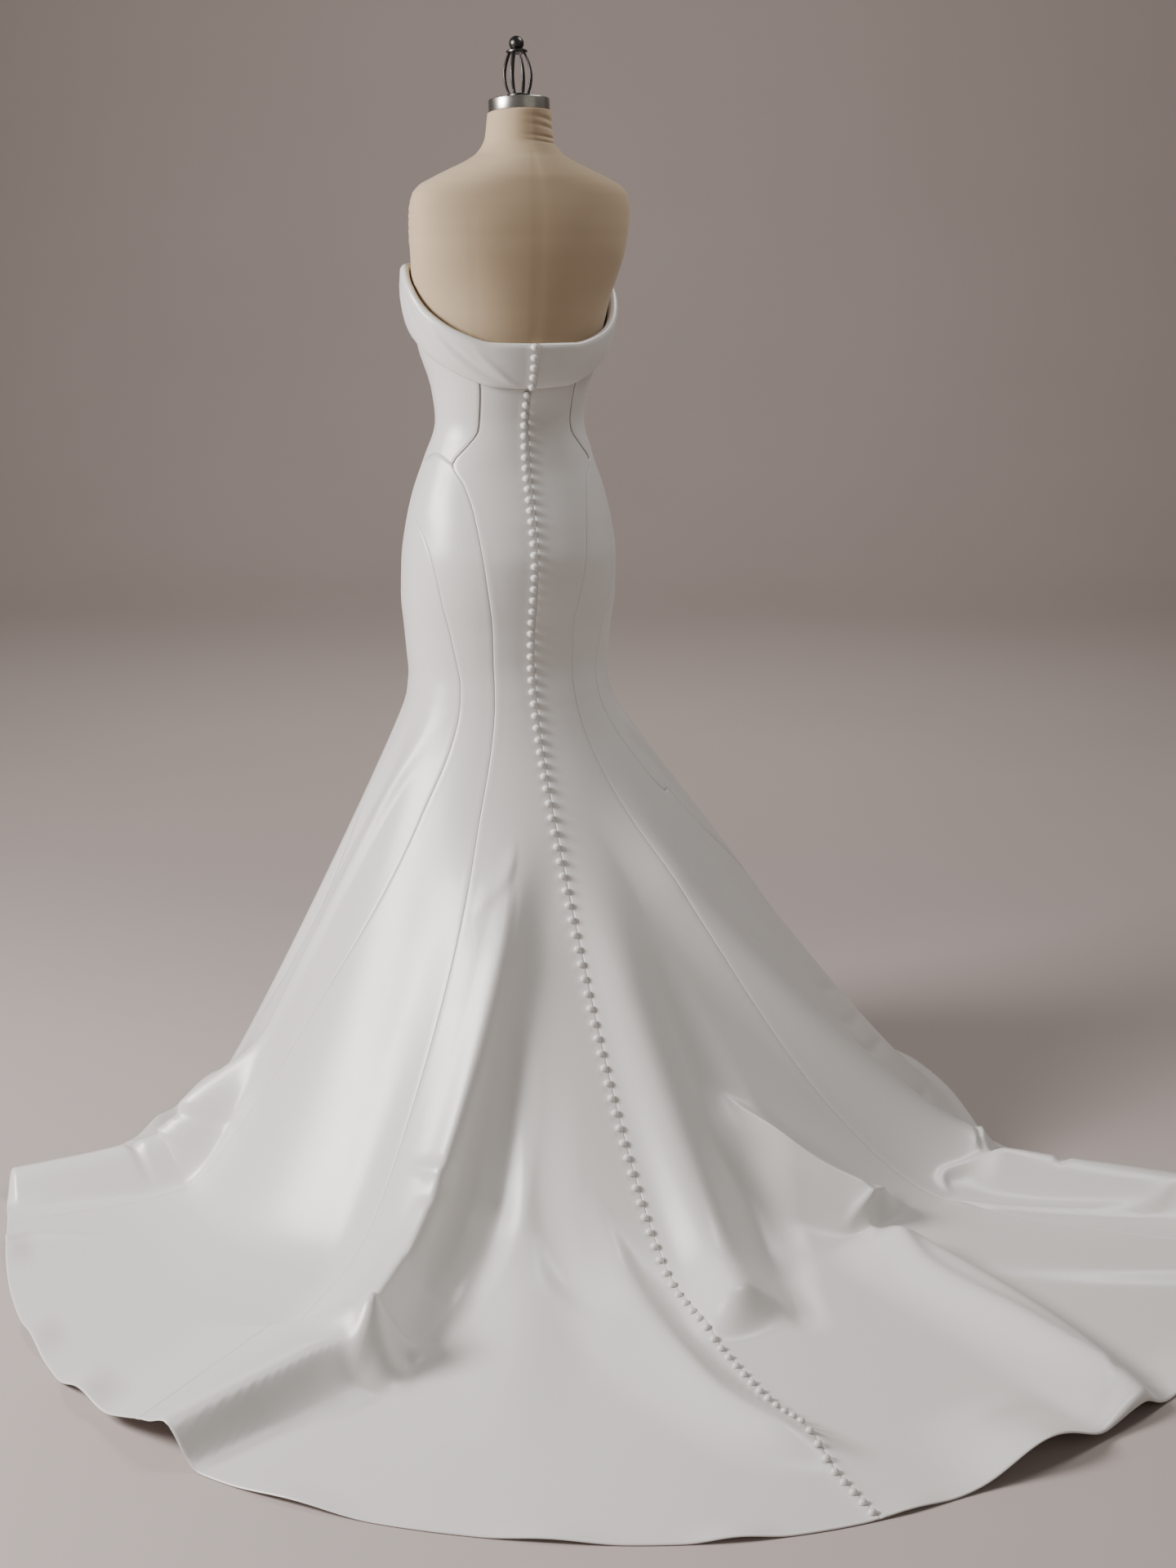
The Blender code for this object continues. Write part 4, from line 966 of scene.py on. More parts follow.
@dataclass(frozen=True)
class LinenFinish:
    """Natural linen: plain weave with uneven threads."""

    light: tuple[float, float, float, float] = (0.53, 0.405, 0.265, 1.0)
    dark: tuple[float, float, float, float] = (0.39, 0.285, 0.175, 1.0)
    thread: float = 0.0011

    def build(self) -> bpy.types.Material:
        """Makes the material; its UV map is in metres."""
        graph = Graph(Cloth.LINEN.value)
        where = graph.add("ShaderNodeUVMap", {"uv_map": "cut"}, {}, "UV")
        waves = []
        for direction in ("X", "Y"):
            values = {"Vector": where, "Scale": 0.32 / self.thread, "Distortion": 1.6, "Detail": 2.0}
            waves.append(graph.add("ShaderNodeTexWave", {"bands_direction": direction}, values, "Fac"))
        weave = waves[0] * waves[1]
        slubs = []
        for scale in ((35.0, 700.0, 1.0), (700.0, 35.0, 1.0)):
            place = graph.add("ShaderNodeMapping", {}, {"Vector": where, "Scale": scale})
            values = {"Vector": place, "Scale": 1.0, "Detail": 3.0}
            slubs.append(graph.add("ShaderNodeTexNoise", {}, values, "Fac"))
        cloud = graph.add("ShaderNodeTexNoise", {}, {"Vector": where, "Scale": 7.0, "Detail": 5.0}, "Fac")
        blend = weave * 0.25 + slubs[0] * 0.35 + slubs[1] * 0.35 + cloud * 0.3 - 0.25
        graph.feed("Base Color", graph.mix(blend, self.light, self.dark))
        graph.feed("Roughness", 0.78 + cloud * 0.12)
        graph.set({"Sheen Weight": 0.15, "Sheen Roughness": 0.5})
        graph.relief(weave + slubs[0] * 0.8 + slubs[1] * 0.8, 0.35, 0.0006)
        return graph.material


@dataclass(frozen=True)
class MetalFinish:
    """A metal with fine brushing round its axis and a little wear."""

    metal: Metal
    bright: tuple[float, float, float, float]
    dull: tuple[float, float, float, float]
    roughness: float

    def build(self) -> bpy.types.Material:
        """Makes the material from object coordinates."""
        graph = Graph(self.metal.value)
        where = graph.add("ShaderNodeTexCoord", {}, {}, "Object")
        place = graph.add("ShaderNodeMapping", {}, {"Vector": where, "Scale": (6.0, 6.0, 2600.0)})
        brushing = graph.add("ShaderNodeTexNoise", {}, {"Vector": place, "Scale": 1.0, "Detail": 4.0}, "Fac")
        stain = graph.add("ShaderNodeTexNoise", {}, {"Vector": where, "Scale": 90.0, "Detail": 5.0}, "Fac")
        graph.feed("Base Color", graph.mix(stain, self.bright, self.dull))
        graph.feed("Roughness", self.roughness + (brushing - 0.5) * 0.12 + (stain - 0.5) * 0.10)
        graph.set({"Metallic": 1.0})
        graph.relief(brushing + stain * 0.5, 0.12, 0.0003)
        return graph.material


@dataclass
class Wardrobe:
    """All finishes, made once and handed to the pieces."""

    satin: bpy.types.Material = field(default_factory=lambda: SatinFinish().build())
    linen: bpy.types.Material = field(default_factory=lambda: LinenFinish().build())
    steel: bpy.types.Material = field(
        default_factory=lambda: MetalFinish(
            Metal.BRUSHED, (0.62, 0.60, 0.57, 1.0), (0.46, 0.44, 0.41, 1.0), 0.27
        ).build()
    )
    iron: bpy.types.Material = field(
        default_factory=lambda: MetalFinish(
            Metal.DARK, (0.11, 0.107, 0.104, 1.0), (0.06, 0.058, 0.056, 1.0), 0.36
        ).build()
    )


def finish_piece(
    name: str,
    bm: bmesh.types.BMesh,
    material: bpy.types.Material,
    nodes: Sequence[str],
) -> bpy.types.Object:
    """Turns a bmesh into a piece of the scene that stands for its nodes.

    Args:
        name: The piece's name.
        bm: Its mesh, which is freed.
        material: Its finish.
        nodes: The nodes that it replaces.

    Returns:
        The new object, at the origin.
    """
    mesh = bpy.data.meshes.new(name)
    bm.to_mesh(mesh)
    bm.free()
    mesh.materials.append(material)
    mesh.shade_smooth()
    piece = bpy.data.objects.new(name, mesh)
    bpy.context.scene.collection.objects.link(piece)
    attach(piece, BODY)
    if nodes:
        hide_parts(*nodes)
    LOG.info("%s: %d faces", name, len(mesh.polygons))
    return piece


def sheet_mesh(points: list[list[Vector]]) -> bmesh.types.BMesh:
    """A sheet through rows of points, with a UV map in metres.

    Args:
        points: Rows from top to bottom, each with the same number of points.

    Returns:
        The sheet as a bmesh.
    """
    rows = len(points) - 1
    columns = len(points[0]) - 1
    bm = bmesh.new()
    bmesh.ops.create_grid(bm, x_segments=columns, y_segments=rows, size=0.5)
    cut = bm.loops.layers.uv.new("cut")
    middle = columns // 2
    drops = [0.0]
    for above, below in zip(points, points[1:]):
        drops.append(drops[-1] + (below[middle] - above[middle]).length)
    spots = {}
    for vert in bm.verts:
        j = round((vert.co.x + 0.5) * columns)
        i = round((0.5 - vert.co.y) * rows)
        spots[vert] = (i, j)
    widths = [(row[-1] - row[0]).length for row in points]
    for face in bm.faces:
        for loop in face.loops:
            i, j = spots[loop.vert]
            row = points[i]
            share = (row[j] - row[0]).length / max(widths[i], 1e-6)
            loop[cut].uv = (widths[i] * (share - 0.5), -drops[i])
    for vert, (i, j) in spots.items():
        vert.co = points[i][j]
    return bm


def add_wall(piece: bpy.types.Object, thickness: float) -> None:
    """Gives a sheet its thickness, inward from its outer face."""
    wall = piece.modifiers.new("wall", "SOLIDIFY")
    wall.thickness = thickness
    wall.offset = -1.0
    wall.use_rim = True


@dataclass
class Panel:
    """One cut panel of the gown, between two seams.

    It reaches from its start seam to its end seam and from its top level down to its low one.
    A rise bows that edge upward. The cut is the flat piece's width and length, and its area.
    """

    name: str
    start: Callable[[float], float]
    end: Callable[[float], float]
    columns: int
    top: float = 2.0
    low: float = 0.0
    top_rises: bool = False
    low_rises: bool = False
    cut: tuple[float, float] = (1.0, 1.0)
    area: float = 0.7
    rise_fades: float = 0.04
    seam_reach: float = 0.03
    seam_depth: float = 0.0005
    shoulder_height: float = 0.0003
    pucker_height: float = 0.00035
    pucker_step: float = 0.021
    seam_columns: tuple[float, ...] = (0.0, 0.0015, 0.0035, 0.0070, 0.0120)
    rim_rows: int = 12
    bodice_step: float = 0.008
    skirt_rows: int = 220
    thickness: float = 0.0015

    def levels(self) -> list[tuple[str, float]]:
        """Rows from the rim to the hem: a share down the rim rows, or a level."""
        rows = [("rim", k / self.rim_rows) for k in range(self.rim_rows)]
        count = round((RIM_FIXED_LEVEL - KNEE) / self.bodice_step)
        heights = [RIM_FIXED_LEVEL - (RIM_FIXED_LEVEL - KNEE) * k / count for k in range(count)]
        heights += [KNEE * (1.0 - k / self.skirt_rows) for k in range(self.skirt_rows + 1)]
        kept = [h for h in heights if self.low < h < self.top or h == 0.0 == self.low]
        if self.low > 0.0:
            kept.append(self.low)
        if self.top < RIM_FIXED_LEVEL:
            return [("level", self.top)] + [("level", h) for h in kept]
        return rows + [("level", h) for h in kept]

    def shares(self, width: float) -> list[float]:
        """Where the columns lie across a row of this width, closer together at the seams."""
        margin = [min(step, 0.3 * width) / width for step in self.seam_columns]
        last = margin[-1]
        middle = [last + (1.0 - 2.0 * last) * k / self.columns for k in range(1, self.columns)]
        return margin + middle + [1.0 - m for m in reversed(margin)]

    def seam_relief(self, distance: float, run: float) -> float:
        """How far the cloth sinks or puckers at a distance from a seam, at a run down it."""
        wander = noise.noise(Vector((run * 9.0, distance * 4.0, len(self.name))))
        ripple = 0.5 + 0.5 * math.sin(TAU * (run / self.pucker_step + 2.2 * wander))
        groove = -self.seam_depth * bump(distance, 0.0016)
        shoulder = self.shoulder_height * bump(distance - 0.006, 0.004)
        pucker = self.pucker_height * ripple * wander * bump(distance - 0.004, 0.009)
        return groove + shoulder + pucker

    def rows(self, shape: GownShape) -> list[list[Vector]]:
        """All points of the panel's outer face, with its seams sunk in."""
        grid = []
        run = 0.0
        for kind, value in self.levels():
            nominal = value
            if kind == "rim":
                nominal = RIM_FIXED_LEVEL + (shape.rim_level(90) - RIM_FIXED_LEVEL) * (1 - value)
            start, end = self.start(nominal), self.end(nominal)
            centre = shape.point((start + end) / 2, nominal)
            radius = math.hypot(centre.x, centre.y)
            width = max(math.radians(end - start) * radius, 1e-4)
            row = []
            for share in self.shares(width):
                angle = start + (end - start) * share
                level = value
                if kind == "rim":
                    top = shape.rim_level(angle)
                    level = top + (RIM_FIXED_LEVEL - top) * value
                rise = HIP_SEAM_RISE * math.sin(math.pi * share)
                if self.top_rises:
                    level += rise * smoothstep(1.0 - (self.top - nominal) / self.rise_fades)
                if self.low_rises:
                    level += rise * smoothstep(1.0 - (nominal - self.low) / self.rise_fades)
                point = shape.point(angle, level)
                near = min(share, 1.0 - share) * width
                if near < self.seam_reach:
                    point += shape.normal(angle, level) * self.seam_relief(near, run)
                    point.z = max(point.z, FLOOR_GAP + self.thickness)
                row.append(point)
            if grid:
                run += (row[len(row) // 2] - grid[-1][len(row) // 2]).length
            grid.append(row)
        return grid

    def build(self, shape: GownShape, satin: bpy.types.Material) -> None:
        """Makes the panel as a satin sheet and gives it its wall."""
        bm = sheet_mesh(self.rows(shape))
        bmesh.ops.recalc_face_normals(bm, faces=bm.faces)
        outward = sum(
            (face.normal.dot(face.calc_center_median()) > 0) * face.calc_area() for face in bm.faces
        )
        if outward < 0.5 * sum(face.calc_area() for face in bm.faces):
            bmesh.ops.reverse_faces(bm, faces=bm.faces)
        piece = finish_piece(f"satin_{self.name}", bm, satin, [self.name])
        add_wall(piece, self.thickness)


def left(table: Sequence[SeamPoint]) -> Callable[[float], float]:
    """A seam on the wearer's left."""
    return curves(table)[0].at


def mirrored(seam: Callable[[float], float]) -> Callable[[float], float]:
    """The same seam on the wearer's right."""
    return lambda level: -seam(level)


@dataclass
class Gown:
    """The gown's panels, sewn edge to edge."""

    shape: GownShape

    def panels(self) -> list[Panel]:
        """The panels from the centre back to the front."""
        side, back, gore, princess = (left(t) for t in (SIDE_SEAM, BACK_SEAM, GORE_SEAM, PRINCESS_SEAM))

        def middle(level: float) -> float:
            """The centre back."""
            return 0.0

        def side_back(level: float) -> float:
            """Outer edge of the skirt's side-back panel: the side seam, then the gore's."""
            return side(level) if level > GORE_TOP_LEVEL else gore(level)

        found = [
            Panel("back_left", middle, back, 96, cut=(1.05, 1.91), area=0.70),
            Panel("back_right", mirrored(back), middle, 96, cut=(1.05, 1.97), area=0.72),
            Panel(
                "front_centre",
                princess,
                lambda level: 360 - princess(level),
                60,
                cut=(0.80, 1.52),
                area=0.50,
                skirt_rows=150,
            ),
        ]
        for hand in ("left", "right"):
            side_panels = (
                Panel(
                    f"bodice_side_back_{hand}",
                    back,
                    side,
                    20,
                    low=HIP_SEAM_LEVEL,
                    low_rises=True,
                    cut=(0.14, 0.26),
                    area=0.021,
                ),
                Panel(
                    f"skirt_side_back_{hand}",
                    back,
                    side_back,
                    84,
                    top=HIP_SEAM_LEVEL,
                    top_rises=True,
                    cut=(0.85, 1.67),
                    area=0.48,
                ),
                Panel(
                    f"skirt_side_gore_{hand}",
                    gore,
                    side,
                    44,
                    top=GORE_TOP_LEVEL,
                    cut=(0.52, 1.35),
                    area=0.26,
                ),
                Panel(f"front_side_{hand}", side, princess, 54, cut=(0.62, 1.61), area=0.30),
            )
            for panel in side_panels:
                if hand == "right":
                    panel = replace(panel, start=mirrored(panel.end), end=mirrored(panel.start))
                found.append(panel)
        return found

    def build(self, satin: bpy.types.Material) -> None:
        """Makes every panel."""
        for panel in self.panels():
            panel.build(self.shape, satin)


@dataclass
class FoldedBand:
    """The cuff that is turned over the bodice's top, in two halves that meet at the back."""

    shape: GownShape
    columns: int = 150
    thickness: float = 0.0016
    overlap: float = 0.9
    steps_a_point: int = 4
    first_outside: int = 5
    fold_width: float = 16.0
    lap_width: float = 6.0
    lap_lift: float = 0.0012
    path: tuple[CuffPoint, ...] = (
        CuffPoint(-0.0010, "rim", -0.012),
        CuffPoint(-0.0012, "rim", 0.0000),
        CuffPoint(-0.0008, "rim", 0.0060),
        CuffPoint(0.0010, "rim", 0.0100),
        CuffPoint(0.0040, "rim", 0.0121),
        CuffPoint(0.0075, "rim", 0.0112),
        CuffPoint(0.0100, "rim", 0.0070),
        CuffPoint(0.0112, "low", 0.82),
        CuffPoint(0.0116, "low", 0.66),
        CuffPoint(0.0116, "low", 0.48),
        CuffPoint(0.0110, "low", 0.30),
        CuffPoint(0.0100, "low", 0.15),
        CuffPoint(0.0084, "low", 0.05),
        CuffPoint(0.0062, "low", 0.00),
    )

    def soft_folds(self, angle: float, down: float) -> float:
        """Slack in the cuff: shallow slanting folds, deeper on the wearer's left.

        Args:
            angle: Degrees round from the centre back.
            down: 0 at the top roll and 1 at the low edge.

        Returns:
            How far the cuff stands out there.
        """
        total = 0.0
        for fold in SOFT_FOLDS:
            turn = wrap(angle - fold.angle)
            across = down - fold.down - turn / fold.slant * 0.5
            total += fold.depth * bump(across, fold.spread) * bump(turn, self.fold_width)
        return total

    def point(self, angle: float, step: float) -> Vector:
        """Point of the cuff at a step along its path from the inside to the low edge."""
        number = min(int(step), len(self.path) - 2)
        share = step - number
        spots = []
        outside = len(self.path) - 1 - self.first_outside
        for offset, datum, amount in self.path[number : number + 2]:
            rim = self.shape.rim_level(angle) + RIM_GAP
            low = self.shape.band_low.at(abs(wrap(angle)))
            level = rim + amount if datum == "rim" else low + (rim - low) * amount
            face = self.shape.point(angle, level)
            out = self.shape.normal(angle, level)
            out.z = 0.0
            down = max(0.0, (step - self.first_outside) / outside)
            slack = self.soft_folds(angle, down) * min(1.0, down * 4.0)
            spots.append(face + out.normalized() * (offset + slack))
        return spots[0].lerp(spots[1], share)

    def build(self, satin: bpy.types.Material) -> None:
        """Makes both halves as one piece."""
        steps = self.steps_a_point * (len(self.path) - 1)
        whole = bmesh.new()
        for first, last in ((-self.overlap, 180.0), (180.0, 360.0 + self.overlap * 0.2)):
            rows = []
            for i in range(steps + 1):
                row = []
                for k in range(self.columns + 1):
                    angle = first + (last - first) * k / self.columns
                    point = self.point(angle, i / self.steps_a_point)
                    if first < 0.0:
                        near_lap = (self.lap_width - angle) / self.lap_width
                        point += heading(angle) * self.lap_lift * smoothstep(near_lap)
                    row.append(point)
                rows.append(row)
            half = sheet_mesh(rows)
            mesh = bpy.data.meshes.new("half")
            half.to_mesh(mesh)
            half.free()
            whole.from_mesh(mesh)
            bpy.data.meshes.remove(mesh)
        bmesh.ops.remove_doubles(whole, verts=whole.verts, dist=0.00002)
        bmesh.ops.recalc_face_normals(whole, faces=whole.faces)
        outer = [f for f in whole.faces if f.calc_center_median().z < 1.27]
        if sum(f.normal.dot(f.calc_center_median()) for f in outer) < 0:
            bmesh.ops.reverse_faces(whole, faces=whole.faces)
        piece = finish_piece("satin_band", whole, satin, ["folded_band"])
        add_wall(piece, self.thickness)


def walk(line: list[Vector], distance: float) -> tuple[Vector, int]:
    """Point at a distance along a line of points, and the segment it lies on."""
    for k, (a, b) in enumerate(zip(line, line[1:])):
        length = (b - a).length
        if distance <= length:
            return a.lerp(b, distance / length), k
        distance -= length
    return line[-1], len(line) - 2


@dataclass
class CoveredButtons:
    """Domed satin buttons down the centre back, each held by a cord loop on its right."""

    shape: GownShape
    radius: float = 0.0057
    dome: float = 0.0044
    placket: float = 0.0048
    loop_thickness: float = 0.00085
    band_count: int = 5
    runs: tuple[Run, ...] = (
        Run("buttons_bodice", 8, 0.0162, 0.0165),
        Run("buttons_hip", 27, 0.0166, 0.0196),
        Run("buttons_skirt", 20, 0.0, 0.0),
        Run("buttons_lower_skirt", 20, 0.0, 0.0),
        Run("buttons_train", 20, 0.0, 0.0),
    )
    hem_space: float = 0.012
    below_band: float = 0.010
    bodice_steps: int = 120
    skirt_steps: int = 400
    band_angle: float = 1.6
    band_steps: int = 40
    band_lift: float = 0.0012

    def one(self, bm: bmesh.types.BMesh, place: Matrix) -> None:
        """Adds a button and its loop.

        Args:
            bm: The run that it joins.
            place: X along the cloth to the wearer's left, Y up the back, Z out from it.
        """
        squash = Matrix.Diagonal((1.0, 1.0, self.dome / self.radius, 1.0))
        bmesh.ops.create_uvsphere(
            bm, u_segments=10, v_segments=6, radius=self.radius, matrix=place @ squash
        )
        bend = Matrix.Translation((-0.0012, 0.0, -self.dome * 0.35))
        start = Matrix.Translation((0.0, self.radius * 0.72, 0.0)) @ Matrix.Rotation(math.pi / 2, 4, "Y")
        ring = bmesh.ops.create_circle(
            bm, segments=5, radius=self.loop_thickness, matrix=place @ bend @ start
        )
        edges = list({edge for vert in ring["verts"] for edge in vert.link_edges})
        bmesh.ops.spin(
            bm,
            geom=edges,
            cent=(place @ bend).translation,
            axis=(place.to_3x3() @ Vector((0.0, 0.0, 1.0))).normalized(),
            angle=math.pi,
            steps=6,
        )

    def place(self, point: Vector, up: Vector, out: Vector) -> Matrix:
        """Frame of a button from its seat, the way up the back and the way out of the cloth."""
        side = up.cross(out).normalized()
        up = out.cross(side).normalized()
        frame_of = Matrix((side, up, out)).transposed().to_4x4()
        frame_of.translation = point + out * self.dome * 0.62
        return frame_of

    def finish(self, name: str, bm: bmesh.types.BMesh, satin: bpy.types.Material) -> None:
        """Hands over one run."""
        cut = bm.loops.layers.uv.new("cut")
        for face in bm.faces:
            for loop in face.loops:
                loop[cut].uv = (loop.vert.co.x, loop.vert.co.y + loop.vert.co.z)
        bmesh.ops.recalc_face_normals(bm, faces=bm.faces)
        finish_piece(f"covered_{name}", bm, satin, [name])

    def seat(self, level: float) -> tuple[Vector, Vector]:
        """Where the line of buttons lies at a level, and the way out of the cloth there."""
        middle = self.shape.point(0.0, level)
        angle = math.degrees(self.placket / math.hypot(middle.x, middle.y))
        return self.shape.point(angle, level), self.shape.normal(angle, level)

    def build(self, satin: bpy.types.Material, band: FoldedBand) -> None:
        """Makes the runs down to the hem, then the one on the band."""
        top = self.shape.band_low.at(0.0) - self.below_band
        steps = self.bodice_steps
        bodice = [top + (KNEE - top) * k / steps for k in range(steps + 1)]
        steps = self.skirt_steps
        skirt = [KNEE * (1 - k / steps) for k in range(1, steps + 1)]
        seats = [self.seat(level) for level in bodice + skirt]
        line = [point for point, _ in seats]
        length = sum((b - a).length for a, b in zip(line, line[1:]))
        distance = 0.0
        waiting = sum(run.count for run in self.runs)
        for run in self.runs:
            bm = bmesh.new()
            even = (length - self.hem_space - distance) / (waiting - 1)
            for k in range(run.count):
                point, segment = walk(line, distance)
                up = line[segment] - line[segment + 1]
                self.one(bm, self.place(point, up.normalized(), seats[segment][1]))
                distance += run.first + (run.last - run.first) * k / (run.count - 1) or even
                waiting -= 1
            self.finish(run.name, bm, satin)
        self.build_on_band(satin, band)

    def build_on_band(self, satin: bpy.types.Material, band: FoldedBand) -> None:
        """Makes the run on the band's outer face, beside its opening."""
        bm = bmesh.new()
        top = band.first_outside + 0.4
        reach = len(band.path) - 1.2 - top
        outer = [
            band.point(self.band_angle, top + reach * k / self.band_steps)
            for k in range(self.band_steps + 1)
        ]
        total = sum((b - a).length for a, b in zip(outer, outer[1:]))
        for k in range(self.band_count):
            point, segment = walk(outer, total * (k + 0.15) / (self.band_count - 0.6))
            up = (outer[segment] - outer[segment + 1]).normalized()
            out = Vector((1.0, 0.0, 0.0)).cross(up).normalized()
            out = out if out.y > 0 else -out
            self.one(bm, self.place(point + out * self.band_lift, up, out))
        self.finish("buttons_band", bm, satin)


@dataclass
class NeckCap:
    """The metal band and lid on the neck, tipped a little."""

    radius: float = 0.0465
    height: float = 0.019
    tilt: float = math.radians(6)
    neck_top: float = 1.645
    neck_y: float = 0.030
    gap: float = 0.0003

    def rise(self, y: float) -> float:
        """How much higher the tipped cap's underside is at a place than at its lowest."""
        return (self.radius + y - self.neck_y) * math.sin(self.tilt)

    def place(self) -> Matrix:
        """Where the cap stands."""
        foot = self.neck_top + self.gap + self.radius * math.sin(self.tilt)
        spot = Matrix.Translation((-LEAN * (self.neck_top - WAIST), self.neck_y, foot))
        return spot @ Matrix.Rotation(self.tilt, 4, "X")

    def build(self, steel: bpy.types.Material) -> None:
        """Makes the cap with softened edges."""
        bm = bmesh.new()
        middle = Matrix.Translation((0.0, 0.0, self.height / 2))
        bmesh.ops.create_cone(
            bm,
            cap_ends=True,
            segments=96,
            radius1=self.radius,
            radius2=self.radius,
            depth=self.height,
            matrix=middle,
        )
        rims = [e for e in bm.edges if len(e.link_faces) == 2 and e.calc_face_angle() > 1.0]
        bmesh.ops.bevel(
            bm, geom=rims, offset=0.0014, segments=3, profile=0.5, affect="EDGES", material=-1
        )
        bmesh.ops.transform(bm, matrix=self.place(), verts=bm.verts)
        piece = finish_piece("metal_cap", bm, steel, ["neck_cap"])
        piece.data.set_sharp_from_angle(angle=math.radians(40))


@dataclass
class DressForm:
    """The linen-covered torso and neck."""

    shape: GownShape
    cap: NeckCap
    foot: float = 0.87
    inset: float = 0.0034
    ease: float = 0.0025
    rest: tuple[float, float] = (1.13, 1.21)
    columns: int = 144
    rows_below: int = 150
    rows_above: int = 80
    shoulder: float = 1.53
    last_covered: float = 1.40
    cap_seam: float = 1.615
    ease_run: float = 0.015
    back_seam_depth: float = 0.0012
    seam_depth: float = 0.0005
    gather_height: float = 0.0014
    wrinkle_depth: float = 0.0026
    seams: tuple[float, ...] = (34.0, -34.0, 90.0, -90.0, 145.0, -145.0)
    neck_wrinkles: tuple[tuple[float, float], ...] = (
        (1.632, 0.0022),
        (1.624, 0.0018),
        (1.612, 0.0020),
        (1.604, 0.0016),
    )

    def table(self) -> list[SmoothCurve]:
        """The slices under the gown, drawn in from it, and the bare ones above it."""
        rows = []
        for height, half_width, back, front, widest in GOWN:
            if not self.foot <= height < self.last_covered:
                continue
            from_rest = max(self.rest[0] - height, height - self.rest[1], 0.0)
            gap = self.inset + self.ease * smoothstep(from_rest / self.ease_run)
            rows.append(Section(height, half_width - gap, back - gap, front - gap, widest))
        return curves(rows + list(FORM_TOP))

    def relief(self, angle: float, height: float) -> float:
        """Seams, neck wrinkles and the gathers at the arms.

        Args:
            angle: Degrees round from the centre back.
            height: Height of the place.

        Returns:
            How far the linen stands out there.
        """
        turn = wrap(angle)
        total = -self.back_seam_depth * bump(turn + 1.0, 1.1) * smoothstep((1.60 - height) / 0.02)
        for seam in self.seams:
            total -= self.seam_depth * bump(turn - seam, 1.0) * smoothstep((1.52 - height) / 0.03)
        for side in (1.0, -1.0):
            gather = bump(turn - side * 92.0, 16.0) * bump(height - 1.49, 0.035)
            wander = noise.noise(Vector((angle * 0.05, height * 18.0, side)))
            total += self.gather_height * gather * math.sin(TAU * (height / 0.013 + wander))
        for level, reach in self.neck_wrinkles:
            slope = level + 0.00008 * (turn + 60.0)
            total -= self.wrinkle_depth * bump(height - slope, reach) * bump(turn + 42.0, 36.0)
        total += 0.0004 * noise.noise(Vector((angle * 0.04, height * 22.0, 3.0)))
        return total

    def build(self, linen: bpy.types.Material) -> None:
        """Makes the torso as one closed skin."""
        table = self.table()
        torso = self.shoulder - self.foot
        neck = self.cap.neck_top - self.shoulder
        heights = [self.foot + torso * k / self.rows_below for k in range(self.rows_below)]
        heights += [self.shoulder + neck * k / self.rows_above for k in range(self.rows_above + 1)]
        rows = []
        for height in reversed(heights):
            row = []
            for k in range(self.columns + 1):
                angle = 360.0 * (k % self.columns) / self.columns
                spot = self.shape.section(table, height, angle)
                out = Vector((spot.x + LEAN * (height - WAIST), spot.y - 0.02, 0.0)).normalized()
                under_cap = (height - self.cap_seam) / (self.cap.neck_top - self.cap_seam)
                spot.z += self.cap.rise(spot.y) * smoothstep(under_cap)
                row.append(spot + out * self.relief(angle, height))
            rows.append(row)
        bm = sheet_mesh(rows)
        bmesh.ops.remove_doubles(bm, verts=bm.verts, dist=0.00001)
        rims = [edge for edge in bm.edges if edge.is_boundary]
        bmesh.ops.holes_fill(bm, edges=rims)
        bmesh.ops.recalc_face_normals(bm, faces=bm.faces)
        finish_piece("linen_torso", bm, linen, ["form_body"])


